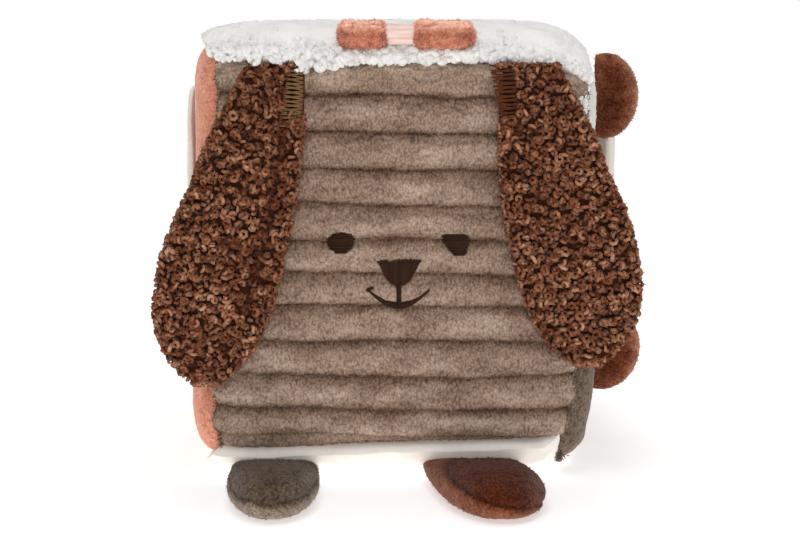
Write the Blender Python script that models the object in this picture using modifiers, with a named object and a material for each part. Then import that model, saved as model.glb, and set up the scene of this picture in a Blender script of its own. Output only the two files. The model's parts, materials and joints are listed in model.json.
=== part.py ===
"""Soft fabric activity block with a dog's face, for a baby.

A stuffed cube of six fabric panels holds two halves of foam and a rattle. Ears, feet, side paws and
side pages are sewn on and flap. Units are metres and +Z is up. The face looks along -Y, and the origin
is the middle of the flat that the block rests on.
"""
import math

import bmesh
import bpy
from mathutils import Vector

# Clearances
contact_gap = 0.0003
hinge_gap = 0.0003
facet_allowance = 0.0005

# Stuffed body, a rounded box whose faces crown
body_half_width = 0.0650
body_half_depth = 0.0700
body_half_height = 0.0720
body_power = 8
flat_depth = 0.0005
front_seam_share = 0.865
panel_thickness = 0.0020
seam_draw = 0.0010
seam_reach = 0.0120
sherpa_pile = 0.0015
rib_count = 11
rib_height = 0.0022
rib_power = 0.7
rib_rows = 4

# Rattle in the foam
rattle_radius = 0.0160
rattle_wall = 0.0015
rattle_ball_radius = 0.0060
pocket_gap = 0.0004
cutter_margin = 0.0100

# Ears, sewn in at the top seam of the face
ear_seam_share = 0.882
left_ear_share = -0.577
left_ear_length = 0.1010
left_ear_width = 0.0400
left_ear_lean = 0.0230
right_ear_share = 0.621
right_ear_length = 0.0955
right_ear_width = 0.0400
right_ear_lean = 0.0195
ear_pile_thickness = 0.0045
ear_swell = 0.0030
ear_lining_thickness = 0.0014
ear_crown_power = 4
ear_clearance = 0.0006

# Bow on the top front edge
bow_x = 0.0022
bow_seam_share = 1.00
bow_band_width = 0.0080
bow_band_height = 0.0090
bow_band_thickness = 0.0072
bow_loop_length = 0.0172
bow_loop_height = 0.0108
bow_loop_thickness = 0.0066
bow_power = 4

# Sewn face
thread_thickness = 0.0009
eye_spread = 0.0176
eye_height = 0.0766
eye_width = 0.0090
eye_tall = 0.0064
nose_x = 0.0002
nose_top = 0.0712
nose_width = 0.0140
nose_tall = 0.0080
nose_taper = 0.9
nose_taper_power = 1.4
line_width = 0.0016
muzzle_drop = 0.0052
smile_width = 0.0215
smile_drop = 0.0046

# Feet, sewn in at the bottom seam of the face
foot_seam_share = 0.985
foot_swell = 0.0075
foot_rest_gap = 0.0002
foot_cloth = 0.0008
foot_crown_power = 4
left_foot_share = -0.608
left_foot_width = 0.0285
left_foot_length = 0.0530
left_foot_splay = 0.0010
right_foot_share = 0.358
right_foot_width = 0.0335
right_foot_length = 0.0550
right_foot_splay = 0.0045

# Paws on the right side
paw_y = -0.0380
upper_paw_length = 0.0150
upper_paw_width = 0.0290
upper_paw_set_back = 0.0004
lower_paw_length = 0.0172
lower_paw_width = 0.0305
lower_paw_set_back = 0.0003
paw_swell = 0.0042
paw_cloth = 0.0008
paw_crown_power = 4
upper_paw_share = 0.842
lower_paw_share = 0.257

# Padded pages on both sides, hinged at the rear
page_hinge_y = 0.0570
page_length = 0.0800
page_height = 0.0940
page_share = 0.531
page_cloth = 0.0007
page_swell = 0.0018
page_crown_power = 8
left_page_standoff = 0.0028
right_page_standoff = 0.0070
stuffing_inset = 0.0040
stuffing_rim = 0.0003
stuffing_share = 0.8
flatter = 0.4

# Shares along a piece, from its sewn root to its free end
ear_width_shares = ((0, 0.5), (0.09, 0.61), (0.22, 0.76), (0.36, 0.86), (0.49, 0.96), (0.62, 1),
                    (0.74, 0.96), (0.84, 0.84), (0.92, 0.63), (0.97, 0.42), (1, 0.2))
ear_lean_shares = ((0, 0), (0.09, 0.1), (0.22, 0.27), (0.36, 0.43), (0.49, 0.61), (0.6, 0.75),
                   (0.74, 0.88), (0.84, 0.94), (1, 1))
ear_rise_shares = ((0, 0.02), (0.08, 0.25), (0.18, 0.6), (0.35, 0.9), (0.6, 1), (0.85, 0.8), (0.95, 0.45),
                   (1, 0.05))
ear_pile_shares = ((0, 0.22), (0.06, 0.4), (0.12, 0.62), (0.22, 0.95), (0.32, 1), (0.85, 1), (0.95, 0.75),
                   (1, 0.4))
ear_standoff_shares = ((0, 0), (0.008, 0.2), (0.016, 0.38), (0.03, 0.6), (0.05, 0.8), (0.08, 0.95), (0.12, 1),
                       (1, 1))
page_standoff_shares = ((0, 0), (0.12, 0.5), (0.24, 0.9), (0.32, 1), (1, 1))
foot_width_shares = ((0, 0.94), (0.15, 1), (0.4, 1), (0.65, 0.97), (0.8, 0.87), (0.91, 0.67), (0.97, 0.46),
                     (1, 0.22))
foot_rise_shares = ((0, 0.02), (0.12, 0.18), (0.3, 0.5), (0.55, 0.88), (0.75, 1), (0.9, 0.78), (0.97, 0.42),
                    (1, 0.06))
paw_width_shares = ((0, 0.96), (0.25, 1), (0.5, 0.93), (0.72, 0.76), (0.88, 0.52), (1, 0.22))
paw_cover_shares = ((0, 0.45), (0.15, 1), (1, 1))
paw_rise_shares = ((0, 0.05), (0.2, 0.62), (0.45, 1), (0.7, 0.92), (0.9, 0.5), (1, 0.08))
page_width_shares = ((0, 0.97), (0.1, 1), (0.84, 1), (0.92, 0.97), (0.97, 0.91), (1, 0.8))
page_rise_shares = ((0, 0.04), (0.1, 0.62), (0.25, 0.95), (0.5, 1), (0.8, 0.95), (0.94, 0.55), (1, 0.05))
flat_shares = ((0, 1), (1, 1))
no_shares = ((0, 0), (1, 0))
swell_shares = ((0, 0.84), (0.3, 0.96), (0.7, 1), (1, 0.97))

# Colour in linear light, and roughness, of each finish
looks = {
    "ribbed_plush": ((0.38, 0.27, 0.21), 0.95), "white_sherpa": ((0.8, 0.78, 0.74), 0.95),
    "coral_velboa": ((0.62, 0.25, 0.17), 0.85), "taupe_velboa": ((0.2, 0.15, 0.11), 0.85),
    "white_cotton": ((0.72, 0.66, 0.6), 0.9), "cream_cotton": ((0.62, 0.54, 0.46), 0.9),
    "brown_curls": ((0.12, 0.04, 0.02), 0.95), "brown_velboa": ((0.13, 0.045, 0.025), 0.85),
    "pink_satin": ((0.85, 0.5, 0.4), 0.35), "dark_thread": ((0.025, 0.01, 0.006), 0.6),
    "wadding": ((0.85, 0.85, 0.85), 1), "foam": ((0.8, 0.76, 0.6), 1),
    "rattle_plastic": ((0.75, 0.75, 0.72), 0.4), "rattle_metal": ((0.6, 0.6, 0.6), 0.3),
}

body_height = 2 * body_half_height
body_centre = Vector((0, 0, body_half_height - flat_depth))
front = Vector((0, -1, 0))
right = Vector((1, 0, 0))
up = Vector((0, 0, 1))


def clear_scene():
    """Remove what the scene holds, and make the two collections."""
    for item in list(bpy.data.objects):
        bpy.data.objects.remove(item, do_unlink=True)
    groups = []
    for name in ("soft_fabric_block", "cutters"):
        group = bpy.data.collections.new(name)
        bpy.context.scene.collection.children.link(group)
        groups.append(group)
    return groups


def material(name, colour, roughness):
    """A Principled material of one colour."""
    finish = bpy.data.materials.new(name)
    finish.use_nodes = True
    shader = finish.node_tree.nodes["Principled BSDF"]
    shader.inputs["Base Color"].default_value = (*colour, 1)
    shader.inputs["Roughness"].default_value = roughness
    return finish


def add_object(name, mesh, finish, group):
    """Write a bmesh, with its faces outward, to a smooth-shaded object of the group."""
    bmesh.ops.recalc_face_normals(mesh, faces=mesh.faces)
    if mesh.calc_volume(signed=True) < 0:
        bmesh.ops.reverse_faces(mesh, faces=mesh.faces)
    data = bpy.data.meshes.new(name)
    mesh.to_mesh(data)
    mesh.free()
    data.materials.append(finish)
    data.shade_smooth()
    item = bpy.data.objects.new(name, data)
    group.objects.link(item)
    return item


def along(shares, place):
    """Value of a table of shares at a place, on a smooth curve through its rows."""
    place = min(max(place, shares[0][0]), shares[-1][0])
    last = len(shares) - 1
    step = max(index for index in range(last) if shares[index][0] <= place)
    (start, low), (end, high) = shares[step], shares[step + 1]
    before, after = shares[max(step - 1, 0)], shares[min(step + 2, last)]
    run = end - start
    slope_low = (high - before[1]) / (end - before[0]) * run
    slope_high = (after[1] - low) / (after[0] - start) * run
    t = (place - start) / run
    cubic = (2 * low - 2 * high + slope_low + slope_high) * t ** 3
    square = (3 * high - 3 * low - 2 * slope_low - slope_high) * t ** 2
    return cubic + square + slope_low * t + low


def sheet_solid(name, columns, rows, outer, inner, finish, group):
    """A closed solid between two surfaces, each a function of two places from -1 to 1."""
    mesh = bmesh.new()
    bmesh.ops.create_grid(mesh, x_segments=columns, y_segments=rows, size=1)
    places = [(vert, vert.co.x, vert.co.y) for vert in mesh.verts]
    grown = bmesh.ops.extrude_face_region(mesh, geom=mesh.faces[:], use_keep_orig=True)
    raised = [(vert, vert.co.x, vert.co.y) for vert in grown["geom"] if isinstance(vert, bmesh.types.BMVert)]
    for vert, across, ahead in places:
        vert.co = inner(across, ahead)
    for vert, across, ahead in raised:
        vert.co = outer(across, ahead)
    return add_object(name, mesh, finish, group)


def rounded(power, direction):
    """How far a direction reaches on a unit box whose faces crown."""
    return sum(abs(part) ** power for part in direction) ** (-1 / power)


def body_point(direction, lift=0):
    """Point of the body's skin in a direction, raised by lift and flat where it rests."""
    reach = rounded(body_power, direction)
    half = Vector((body_half_width + lift, body_half_depth + lift, body_half_height + lift))
    point = body_centre + Vector(size * part * reach for size, part in zip(half, direction))
    point.z = max(point.z, -min(lift, 0))
    return point


def body_normal(direction):
    """Outward normal of the body's skin in a direction."""
    halves = (body_half_width, body_half_depth, body_half_height)
    steep = (math.copysign(abs(part) ** (body_power - 1), part) for part in direction)
    return Vector(part / half for part, half in zip(steep, halves)).normalized()


def body_panel(name, facing, across, climb, spans, cells, relief, finish, group):
    """One sewn panel of the body, between the seam ratios in spans."""
    half_gap = contact_gap / 2 / body_half_width
    low_s, high_s, low_t, high_t = (span - math.copysign(half_gap, span) for span in spans)

    def ratio(low, high, place):
        eased = math.sin(place * math.pi / 2)
        return (low + high) / 2 + (high - low) / 2 * eased

    def heading(s, t):
        return facing + across * ratio(low_s, high_s, s) + climb * ratio(low_t, high_t, t)

    def seam_share(s, t):
        edge_s = min(ratio(low_s, high_s, s) - low_s, high_s - ratio(low_s, high_s, s))
        edge_t = min(ratio(low_t, high_t, t) - low_t, high_t - ratio(low_t, high_t, t))
        near = min(min(edge_s, edge_t) * body_half_width / seam_reach, 1)
        return (1 - near) ** 2

    def outer(s, t):
        drawn = seam_share(s, t)
        return body_point(heading(s, t), relief(t) * (1 - drawn) - seam_draw * drawn)

    def inner(s, t):
        return body_point(heading(s, t), -panel_thickness)

    return sheet_solid(name, *cells, outer, inner, finish, group)


def rib_relief(place):
    """Height of the ribbed plush at a place from the bottom seam, -1, to the top seam, 1."""
    phase = (place + 1) / 2 * rib_count
    return rib_height * abs(math.sin(phase * math.pi)) ** rib_power


def ribbed_panel(finish, group):
    """The front panel, with rows of cells that follow its ribs."""
    half_gap = contact_gap / 2 / body_half_width
    limit = front_seam_share - half_gap

    def heading(s, t):
        return front + right * math.sin(s * math.pi / 2) * limit + up * t * limit

    def outer(s, t):
        edge = min(1 - abs(math.sin(s * math.pi / 2)), 1 - abs(t)) * body_half_width / seam_reach
        drawn = (1 - min(edge, 1)) ** 2
        return body_point(heading(s, t), rib_relief(t) * (1 - drawn) - seam_draw * drawn)

    def inner(s, t):
        return body_point(heading(s, t), -panel_thickness)

    return sheet_solid("front_panel", 10, rib_count * rib_rows, outer, inner, finish, group)


def plain(place):
    """No relief."""
    return 0


def sherpa(place):
    """The even height of the fleece on top."""
    return sherpa_pile


def body_panels(finishes, group):
    """The six panels of the cube, the front one inside the edges that its neighbours wrap."""
    wrap = 1 / front_seam_share
    ribbed_panel(finishes["ribbed_plush"], group)
    cells = (16, 14)
    side = (-wrap, 1, -1, 1)
    body_panel("right_panel", right, -front, up, side, cells, plain, finishes["taupe_velboa"], group)
    body_panel("left_panel", -right, -front, up, side, cells, plain, finishes["coral_velboa"], group)
    body_panel("top_panel", up, -front, right, side, cells, sherpa, finishes["white_sherpa"], group)
    body_panel("bottom_panel", -up, -front, right, side, cells, plain, finishes["white_cotton"], group)
    whole = (-1, 1, -1, 1)
    body_panel("back_panel", -front, right, up, whole, (14, 14), plain, finishes["cream_cotton"], group)


def pillow(name, cuts, place, finish, group):
    """A closed form from a cube of cut faces, whose points place() sets from unit directions."""
    mesh = bmesh.new()
    bmesh.ops.create_cube(mesh, size=2)
    bmesh.ops.subdivide_edges(mesh, edges=mesh.edges[:], cuts=cuts, use_grid_fill=True)
    for vert in mesh.verts:
        direction = Vector(math.sin(part * math.pi / 2) for part in vert.co)
        vert.co = place(direction)
    return add_object(name, mesh, finish, group)


def cut(item, cutter, operation):
    """Cut an object by a hidden cutter."""
    cutter.hide_render = True
    cutter.display_type = "WIRE"
    step = item.modifiers.new(cutter.name, "BOOLEAN")
    step.operation = operation
    step.object = cutter


def stuffing(finishes, group, cutters):
    """Two halves of foam that meet at mid height, with a round pocket for the rattle."""
    lift = -(panel_thickness + contact_gap + facet_allowance)
    mesh = bmesh.new()
    bmesh.ops.create_uvsphere(mesh, u_segments=20, v_segments=12, radius=rattle_radius + pocket_gap)
    pocket = add_object("pocket_cutter", mesh, finishes["foam"], cutters)
    pocket.location = body_centre
    edge = body_height + 2 * cutter_margin
    for name, side in (("stuffing_lower", -1), ("stuffing_upper", 1)):
        foam = pillow(name, 7, lambda direction: body_point(direction, lift), finishes["foam"], group)
        mesh = bmesh.new()
        bmesh.ops.create_cube(mesh, size=edge)
        half = add_object(name + "_cutter", mesh, finishes["foam"], cutters)
        half.location = body_centre + up * side * (edge + contact_gap) / 2
        cut(foam, half, "INTERSECT")
        cut(foam, pocket, "DIFFERENCE")


def rattle(finishes, group):
    """A snapped capsule of two half shells with a loose ball in it."""
    for name, side in (("rattle_shell_lower", -1), ("rattle_shell_upper", 1)):
        mesh = bmesh.new()
        bmesh.ops.create_uvsphere(mesh, u_segments=20, v_segments=12, radius=rattle_radius)
        spare = [vert for vert in mesh.verts if vert.co.z * side < -contact_gap]
        bmesh.ops.delete(mesh, geom=spare, context="VERTS")
        shell = add_object(name, mesh, finishes["rattle_plastic"], group)
        shell.location = body_centre + up * side * contact_gap
        wall = shell.modifiers.new("wall", "SOLIDIFY")
        wall.thickness = rattle_wall
        wall.offset = -1
    mesh = bmesh.new()
    bmesh.ops.create_uvsphere(mesh, u_segments=14, v_segments=8, radius=rattle_ball_radius)
    ball = add_object("rattle_ball", mesh, finishes["rattle_metal"], group)
    drop = rattle_radius - rattle_wall - rattle_ball_radius - 2 * contact_gap
    ball.location = body_centre - up * drop


def pad(names, root, axes, size, shares, finishes, group, cells):
    """A flat piece of two covers that are sewn at the rim, with stuffing between them.

    root is the middle of its sewn edge, and axes are the directions along it, across it and outward.
    A third name is the stuffing's.
    """
    ahead, across, outward = axes

    def base(s, place, inset=0):
        half = size["width"] / 2 * along(shares["width"], place) - inset
        side = size["lean"] * along(shares["lean"], place) + half * math.sin(s * math.pi / 2)
        raised = size["standoff"] * along(shares["standoff"], place)
        return root + ahead * size["length"] * place + across * side + outward * raised

    def crown(s, place):
        return along(shares["rise"], place) * (1 - abs(math.sin(s * math.pi / 2)) ** size["crown_power"])

    def eased(t):
        return (1 - math.cos((t + 1) * math.pi / 2)) / 2

    def inner_upper(s, t):
        return base(s, eased(t)) + outward * (contact_gap / 2 + size["swell"] * crown(s, eased(t)))

    def outer_upper(s, t):
        return inner_upper(s, t) + outward * size["cover"] * along(shares["cover"], eased(t))

    def inner_under(s, t):
        return base(s, eased(t)) - outward * (contact_gap / 2 + size["under"] * crown(s, eased(t)) ** flatter)

    def outer_under(s, t):
        return inner_under(s, t) - outward * size["backing"] * along(shares["cover"], eased(t))

    sheet_solid(names[0], *cells, outer_upper, inner_upper, finishes[0], group)
    sheet_solid(names[1], *cells, inner_under, outer_under, finishes[1], group)
    if len(names) < 3:
        return
    margin = stuffing_inset / size["length"]

    def within(t):
        return margin + (1 - 2 * margin) * eased(t)

    def core_depth(s, t):
        return size["under"] * crown(s, within(t)) ** flatter * stuffing_share - contact_gap / 2

    def core_upper(s, t):
        height = size["swell"] * crown(s, within(t)) * stuffing_share - contact_gap / 2
        least = stuffing_rim - core_depth(s, t)
        return base(s, within(t), stuffing_inset) + outward * max(height, least)

    def core_under(s, t):
        return base(s, within(t), stuffing_inset) - outward * core_depth(s, t)

    sheet_solid(names[2], cells[0] - 2, cells[1] - 2, core_upper, core_under, finishes[2], group)


def hinge_point(direction, skin, lift=0):
    """Place of a sewn hinge just off the body's skin, for a piece whose edge is skin thick each side."""
    return body_point(direction, lift) + body_normal(direction) * (contact_gap / 2 + skin + hinge_gap)


def seam_heading(x, seam_share, side):
    """Direction of a point at x on the face's top seam, side 1, or bottom seam, side -1."""
    return Vector((x / body_half_width, -1, seam_share * side))


def ears(finishes, group):
    """Two long ears that hang from the top seam in front of the face."""
    clear = body_half_depth + rib_height + ear_clearance + contact_gap / 2 + ear_lining_thickness
    shares = {"width": ear_width_shares, "lean": ear_lean_shares, "rise": ear_rise_shares,
              "cover": ear_pile_shares, "standoff": ear_standoff_shares}
    skins = (finishes["brown_curls"], finishes["brown_velboa"])
    left = ("left", left_ear_share, left_ear_length, left_ear_width, -left_ear_lean)
    other = ("right", right_ear_share, right_ear_length, right_ear_width, right_ear_lean)
    for side, share, length, width, lean in (left, other):
        x = body_half_width * share
        root = hinge_point(seam_heading(x, ear_seam_share, 1), ear_lining_thickness * ear_pile_shares[0][1],
                           -seam_draw / 4)
        root.x = x
        size = {"length": length, "width": width, "lean": lean, "standoff": clear + root.y,
                "swell": ear_swell, "under": 0, "cover": ear_pile_thickness, "backing": ear_lining_thickness,
                "crown_power": ear_crown_power}
        names = (side + "_ear_pile", side + "_ear_lining")
        pad(names, root, (-up, right, front), size, shares, skins, group, (8, 18))


def feet(finishes, group):
    """Two stuffed feet that lie in front of the block, each a sole and an upper."""
    shares = {"width": foot_width_shares, "lean": ear_lean_shares, "rise": foot_rise_shares,
              "cover": flat_shares, "standoff": no_shares}
    left = ("left", left_foot_share, left_foot_length, left_foot_width, left_foot_splay)
    other = ("right", right_foot_share, right_foot_length, right_foot_width, right_foot_splay)
    for side, share, length, width, splay in (left, other):
        x = body_half_width * share
        root = hinge_point(seam_heading(x, foot_seam_share, -1), foot_cloth)
        root.x = x
        under = root.z - foot_rest_gap - foot_cloth - contact_gap / 2
        size = {"length": length, "width": width, "lean": splay, "standoff": 0, "swell": foot_swell,
                "under": under, "cover": foot_cloth, "backing": foot_cloth, "crown_power": foot_crown_power}
        skin = finishes["taupe_velboa"] if side == "left" else finishes["brown_velboa"]
        names = (side + "_foot_upper", side + "_foot_sole", side + "_foot_stuffing")
        pad(names, root, (front, right, up), size, shares, (skin, skin, finishes["wadding"]), group, (8, 12))


def paw_hinge(z):
    """Place of a paw's upright seam at height z, clear of the side at its widest."""
    point = hinge_point(Vector((1, paw_y / body_half_depth, 0)), paw_cloth)
    point.z = z
    return point


def paws(finishes, group):
    """Two stuffed half-round paws that stick out of the right side."""
    shares = {"width": paw_width_shares, "lean": no_shares, "rise": paw_rise_shares,
              "cover": paw_cover_shares, "standoff": no_shares}
    skin = finishes["brown_velboa"]
    upper = ("upper_paw", upper_paw_share, upper_paw_length, upper_paw_width, upper_paw_set_back)
    lower = ("lower_paw", lower_paw_share, lower_paw_length, lower_paw_width, lower_paw_set_back)
    for name, share, length, width, set_back in (upper, lower):
        root = paw_hinge(body_height * share) - right * set_back
        size = {"length": length, "width": width, "lean": 0, "standoff": 0, "swell": paw_swell,
                "under": paw_swell, "cover": paw_cloth, "backing": paw_cloth, "crown_power": paw_crown_power}
        names = (name + "_front", name + "_back", name + "_stuffing")
        pad(names, root, (right, up, front), size, shares, (skin, skin, finishes["wadding"]), group, (8, 8))


def pages(finishes, group):
    """A padded page on each side, sewn along its rear edge."""
    shares = {"width": page_width_shares, "lean": no_shares, "rise": page_rise_shares,
              "cover": flat_shares, "standoff": page_standoff_shares}
    skins = (finishes["cream_cotton"], finishes["cream_cotton"], finishes["wadding"])
    rise = (body_height * page_share - body_centre.z) / body_half_height
    left = ("left", -right, left_page_standoff)
    other = ("right", right, right_page_standoff)
    for side, outward, standoff in (left, other):
        heading = Vector((outward.x, page_hinge_y / body_half_depth, rise))
        root = hinge_point(heading, page_cloth)
        size = {"length": page_length, "width": page_height, "lean": 0, "standoff": standoff,
                "swell": page_swell, "under": 0, "cover": page_cloth, "backing": page_cloth,
                "crown_power": page_crown_power}
        names = (side + "_page_outer", side + "_page_inner", side + "_page_wadding")
        pad(names, root, (front, up, outward), size, shares, skins, group, (8, 10))


def bow(finishes, group):
    """A small plush bow with a satin band, on the top front edge."""
    heading = seam_heading(bow_x, bow_seam_share, 1)
    outward = body_normal(Vector((0, heading.y, heading.z)))
    climb = right.cross(outward) * -1
    seat = body_point(heading, sherpa_pile) + outward * (contact_gap + bow_band_thickness / 2)
    seat.x = bow_x
    half = (bow_band_width / 2, bow_band_height / 2, bow_band_thickness / 2)

    def band_point(direction):
        reach = rounded(bow_power, direction)
        return seat + (right * half[0] * direction.x + climb * half[1] * direction.y
                       + outward * half[2] * direction.z) * reach

    pillow("bow_band", 4, band_point, finishes["pink_satin"], group)
    for name, side in (("bow_left_loop", -1), ("bow_right_loop", 1)):
        middle = seat + right * side * (half[0] + contact_gap + bow_loop_length / 2)

        def loop_point(direction, middle=middle, side=side):
            reach = rounded(bow_power, direction)
            out = (direction.x * reach * side + 1) / 2
            grown = along(swell_shares, out)
            return middle + (right * bow_loop_length / 2 * direction.x
                             + climb * bow_loop_height / 2 * direction.y * grown
                             + outward * bow_loop_thickness / 2 * direction.z * grown) * reach

        pillow(name, 5, loop_point, finishes["coral_velboa"], group)


def face_point(x, z, lift):
    """Point in front of the ribs at x and height z."""
    rise = (z - body_centre.z) / body_half_height
    return body_point(Vector((x / body_half_width, -1, rise)), rib_height + lift)


def stitched(name, columns, rows, plan, finish, group):
    """A sewn patch on the crests of the ribs, whose plan gives x and z."""
    def outer(s, t):
        x, z = plan(s, t)
        return face_point(x, z, contact_gap + thread_thickness)

    def inner(s, t):
        x, z = plan(s, t)
        return face_point(x, z, contact_gap)

    return sheet_solid(name, columns, rows, outer, inner, finish, group)


def sewn_face(finishes, group):
    """Eyes, nose and mouth in dark thread."""
    thread = finishes["dark_thread"]
    for name, side in (("left_eye", -1), ("right_eye", 1)):
        def eye(s, t, side=side):
            x = side * eye_spread + eye_width / 2 * s * math.sqrt(1 - t * t / 2)
            return x, eye_height + eye_tall / 2 * t * math.sqrt(1 - s * s / 2)

        stitched(name, 6, 6, eye, thread, group)

    def nose(s, t):
        drop = (1 - t) / 2
        narrow = 1 - nose_taper * drop ** nose_taper_power
        return nose_x + nose_width / 2 * s * narrow, nose_top - nose_tall * drop

    stitched("nose", 8, 8, nose, thread, group)
    tip = nose_top - nose_tall - contact_gap

    def muzzle(s, t):
        return nose_x + line_width / 2 * s, tip - muzzle_drop * (1 - t) / 2

    stitched("muzzle_line", 1, 4, muzzle, thread, group)
    smile_z = tip - muzzle_drop - contact_gap - line_width / 2

    def smile(s, t):
        return nose_x + smile_width / 2 * s, smile_z + smile_drop * s * s + line_width / 2 * t

    stitched("smile_line", 12, 1, smile, thread, group)


def main():
    """Build every piece of the block."""
    group, cutters = clear_scene()
    finishes = {name: material(name, *look) for name, look in looks.items()}
    body_panels(finishes, group)
    stuffing(finishes, group, cutters)
    rattle(finishes, group)
    ears(finishes, group)
    bow(finishes, group)
    sewn_face(finishes, group)
    feet(finishes, group)
    paws(finishes, group)
    pages(finishes, group)


main()
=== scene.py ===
"""Looks of a soft fabric block with a dog's face: scene.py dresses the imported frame, piece by piece."""
import json
import math
import random

import bmesh
import bpy
import numpy as np
from mathutils import Matrix, Vector, noise


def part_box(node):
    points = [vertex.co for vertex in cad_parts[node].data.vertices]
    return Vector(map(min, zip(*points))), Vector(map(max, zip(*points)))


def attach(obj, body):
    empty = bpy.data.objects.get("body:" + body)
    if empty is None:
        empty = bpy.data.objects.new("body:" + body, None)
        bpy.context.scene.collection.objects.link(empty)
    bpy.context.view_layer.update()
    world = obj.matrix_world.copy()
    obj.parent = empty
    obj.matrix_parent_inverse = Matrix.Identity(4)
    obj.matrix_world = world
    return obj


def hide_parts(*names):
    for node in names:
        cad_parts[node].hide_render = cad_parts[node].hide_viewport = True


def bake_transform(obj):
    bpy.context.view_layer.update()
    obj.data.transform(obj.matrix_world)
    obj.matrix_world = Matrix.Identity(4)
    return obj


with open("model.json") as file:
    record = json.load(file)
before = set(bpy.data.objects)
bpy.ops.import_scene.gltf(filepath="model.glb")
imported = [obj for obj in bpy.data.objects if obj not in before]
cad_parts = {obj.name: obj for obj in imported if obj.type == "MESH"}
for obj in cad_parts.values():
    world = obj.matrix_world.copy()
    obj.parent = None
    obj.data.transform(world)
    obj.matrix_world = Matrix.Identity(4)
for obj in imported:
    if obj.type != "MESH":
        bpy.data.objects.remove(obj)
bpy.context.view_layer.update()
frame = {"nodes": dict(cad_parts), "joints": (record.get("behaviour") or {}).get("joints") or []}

bl_info = {
    "name": "Soft Fabric Block",
    "version": (1, 0, 0),
    "blender": (4, 5, 0),
    "location": "View3D > Sidebar > Soft Block",
    "description": "Sews a stuffed fabric block with a dog's face over its frame",
    "category": "Object",
}

mm = 0.001
joints = {joint["name"]: joint for joint in frame["joints"]}

# Stuffed body of the frame: a rounded box whose faces crown
body_power = 8
flat_depth = 0.5 * mm
seam_draw = 1.0 * mm
seam_reach = 12 * mm
skin_thickness = 1.6 * mm
lining_thickness = 1.4 * mm
flare_top = 80 * mm
flare_left = 0.085
flare_right = 0.045
rest_clearance = 0.2 * mm

# The two top corners of the face: the left one is filled out square and the right one slopes
corner_from, corner_rise = 100 * mm, 40 * mm
left_corner = (5.5 * mm, 8.0 * mm)
right_corner = (1.8 * mm, -9.0 * mm)

# Corners of the front panel as directions from the block's middle, by side and end
front_corners = {"tl": (-0.892, -1, 0.912), "tr": (1.02, -1, 0.955), "bl": (-0.885, -1, -0.93),
                 "br": (0.862, -1, -0.858)}
bottom_tuck, tuck_top, tuck_power = 15 * mm, 34 * mm, 1.5
seam_level = 0.062
seam_upright = 0.02
tail_corner = (0.86, -1, -1.0)
rear_corners = {"tl": (-1, 1, 0.9), "tr": (1, 1, 1), "bl": (-1, 1, -1), "br": (1, 1, -1)}

# Heights of the grooves between the ribs, from the top, at the middle of the face
groove_heights = [place * mm for place in (122.7, 111.4, 100.2, 89.0, 78.0, 67.2, 57.2, 45.7, 34.8, 24.0, 14.6)]
groove_tilt = -0.02

# Shares along a piece, from its sewn root to its free end
ear_width_shares = ((0, 0.5), (0.09, 0.61), (0.22, 0.76), (0.36, 0.86), (0.49, 0.96), (0.62, 1),
                    (0.74, 0.96), (0.84, 0.84), (0.92, 0.63), (0.97, 0.42), (1, 0.2))
ear_lean_shares = ((0, 0), (0.09, 0.1), (0.22, 0.27), (0.36, 0.43), (0.49, 0.61), (0.6, 0.75),
                   (0.74, 0.88), (0.84, 0.94), (1, 1))
ear_rise_shares = ((0, 0.02), (0.08, 0.25), (0.18, 0.6), (0.35, 0.9), (0.6, 1), (0.85, 0.8), (0.95, 0.45),
                   (1, 0.05))
right_ear_width_shares = ((0, 0.5), (0.09, 0.61), (0.22, 0.77), (0.36, 0.89), (0.49, 1), (0.62, 1.02),
                          (0.74, 0.98), (0.84, 0.85), (0.92, 0.65), (0.97, 0.43), (1, 0.2))
ear_pile_shares = ((0, 0.5), (0.06, 0.7), (0.12, 0.85), (0.22, 0.97), (0.32, 1), (0.85, 1), (0.95, 0.8), (1, 0.5))
ear_standoff_shares = ((0, 0), (0.008, 0.2), (0.016, 0.38), (0.03, 0.6), (0.05, 0.8), (0.08, 0.95), (0.12, 1),
                       (1, 1))
foot_width_shares = ((0, 0.94), (0.15, 1), (0.4, 1.01), (0.6, 0.97), (0.75, 0.86), (0.87, 0.67), (0.95, 0.45),
                     (1, 0.18))
foot_rise_shares = ((0, 0.02), (0.12, 0.18), (0.3, 0.5), (0.55, 0.88), (0.75, 1), (0.9, 0.78), (0.97, 0.42),
                    (1, 0.06))
paw_width_shares = ((0, 0.96), (0.25, 1), (0.5, 0.93), (0.72, 0.76), (0.88, 0.52), (1, 0.22))
paw_rise_shares = ((0, 0.05), (0.2, 0.62), (0.45, 1), (0.7, 0.92), (0.9, 0.5), (1, 0.08))
page_width_shares = ((0, 0.97), (0.1, 1), (0.84, 1), (0.92, 0.97), (0.97, 0.91), (1, 0.8))
page_rise_shares = ((0, 0.04), (0.1, 0.62), (0.25, 0.95), (0.5, 1), (0.8, 0.95), (0.94, 0.55), (1, 0.05))
page_standoff_shares = ((0, 0), (0.12, 0.5), (0.24, 0.9), (0.32, 1), (1, 1))
left_eye_shares = ((0, 0.5), (0.15, 0.75), (0.4, 0.95), (0.65, 1), (0.88, 0.86), (1, 0.55))
right_eye_shares = ((0, 0.5), (0.15, 0.64), (0.4, 0.84), (0.65, 0.97), (0.9, 1), (1, 0.92))
no_shares = ((0, 0), (1, 0))

# The block's axes, and how far a small shape may be rolled round its heading, in radians
right = np.array((1.0, 0, 0))
back = np.array((0, 1.0, 0))
up = np.array((0, 0, 1.0))
full_roll = 6.28


def linear(code):
    """An sRGB hex colour as linear red, green and blue."""
    parts = [int(code[place:place + 2], 16) / 255 for place in (1, 3, 5)]
    return [part / 12.92 if part <= 0.04045 else ((part + 0.055) / 1.055) ** 2.4 for part in parts]


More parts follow.
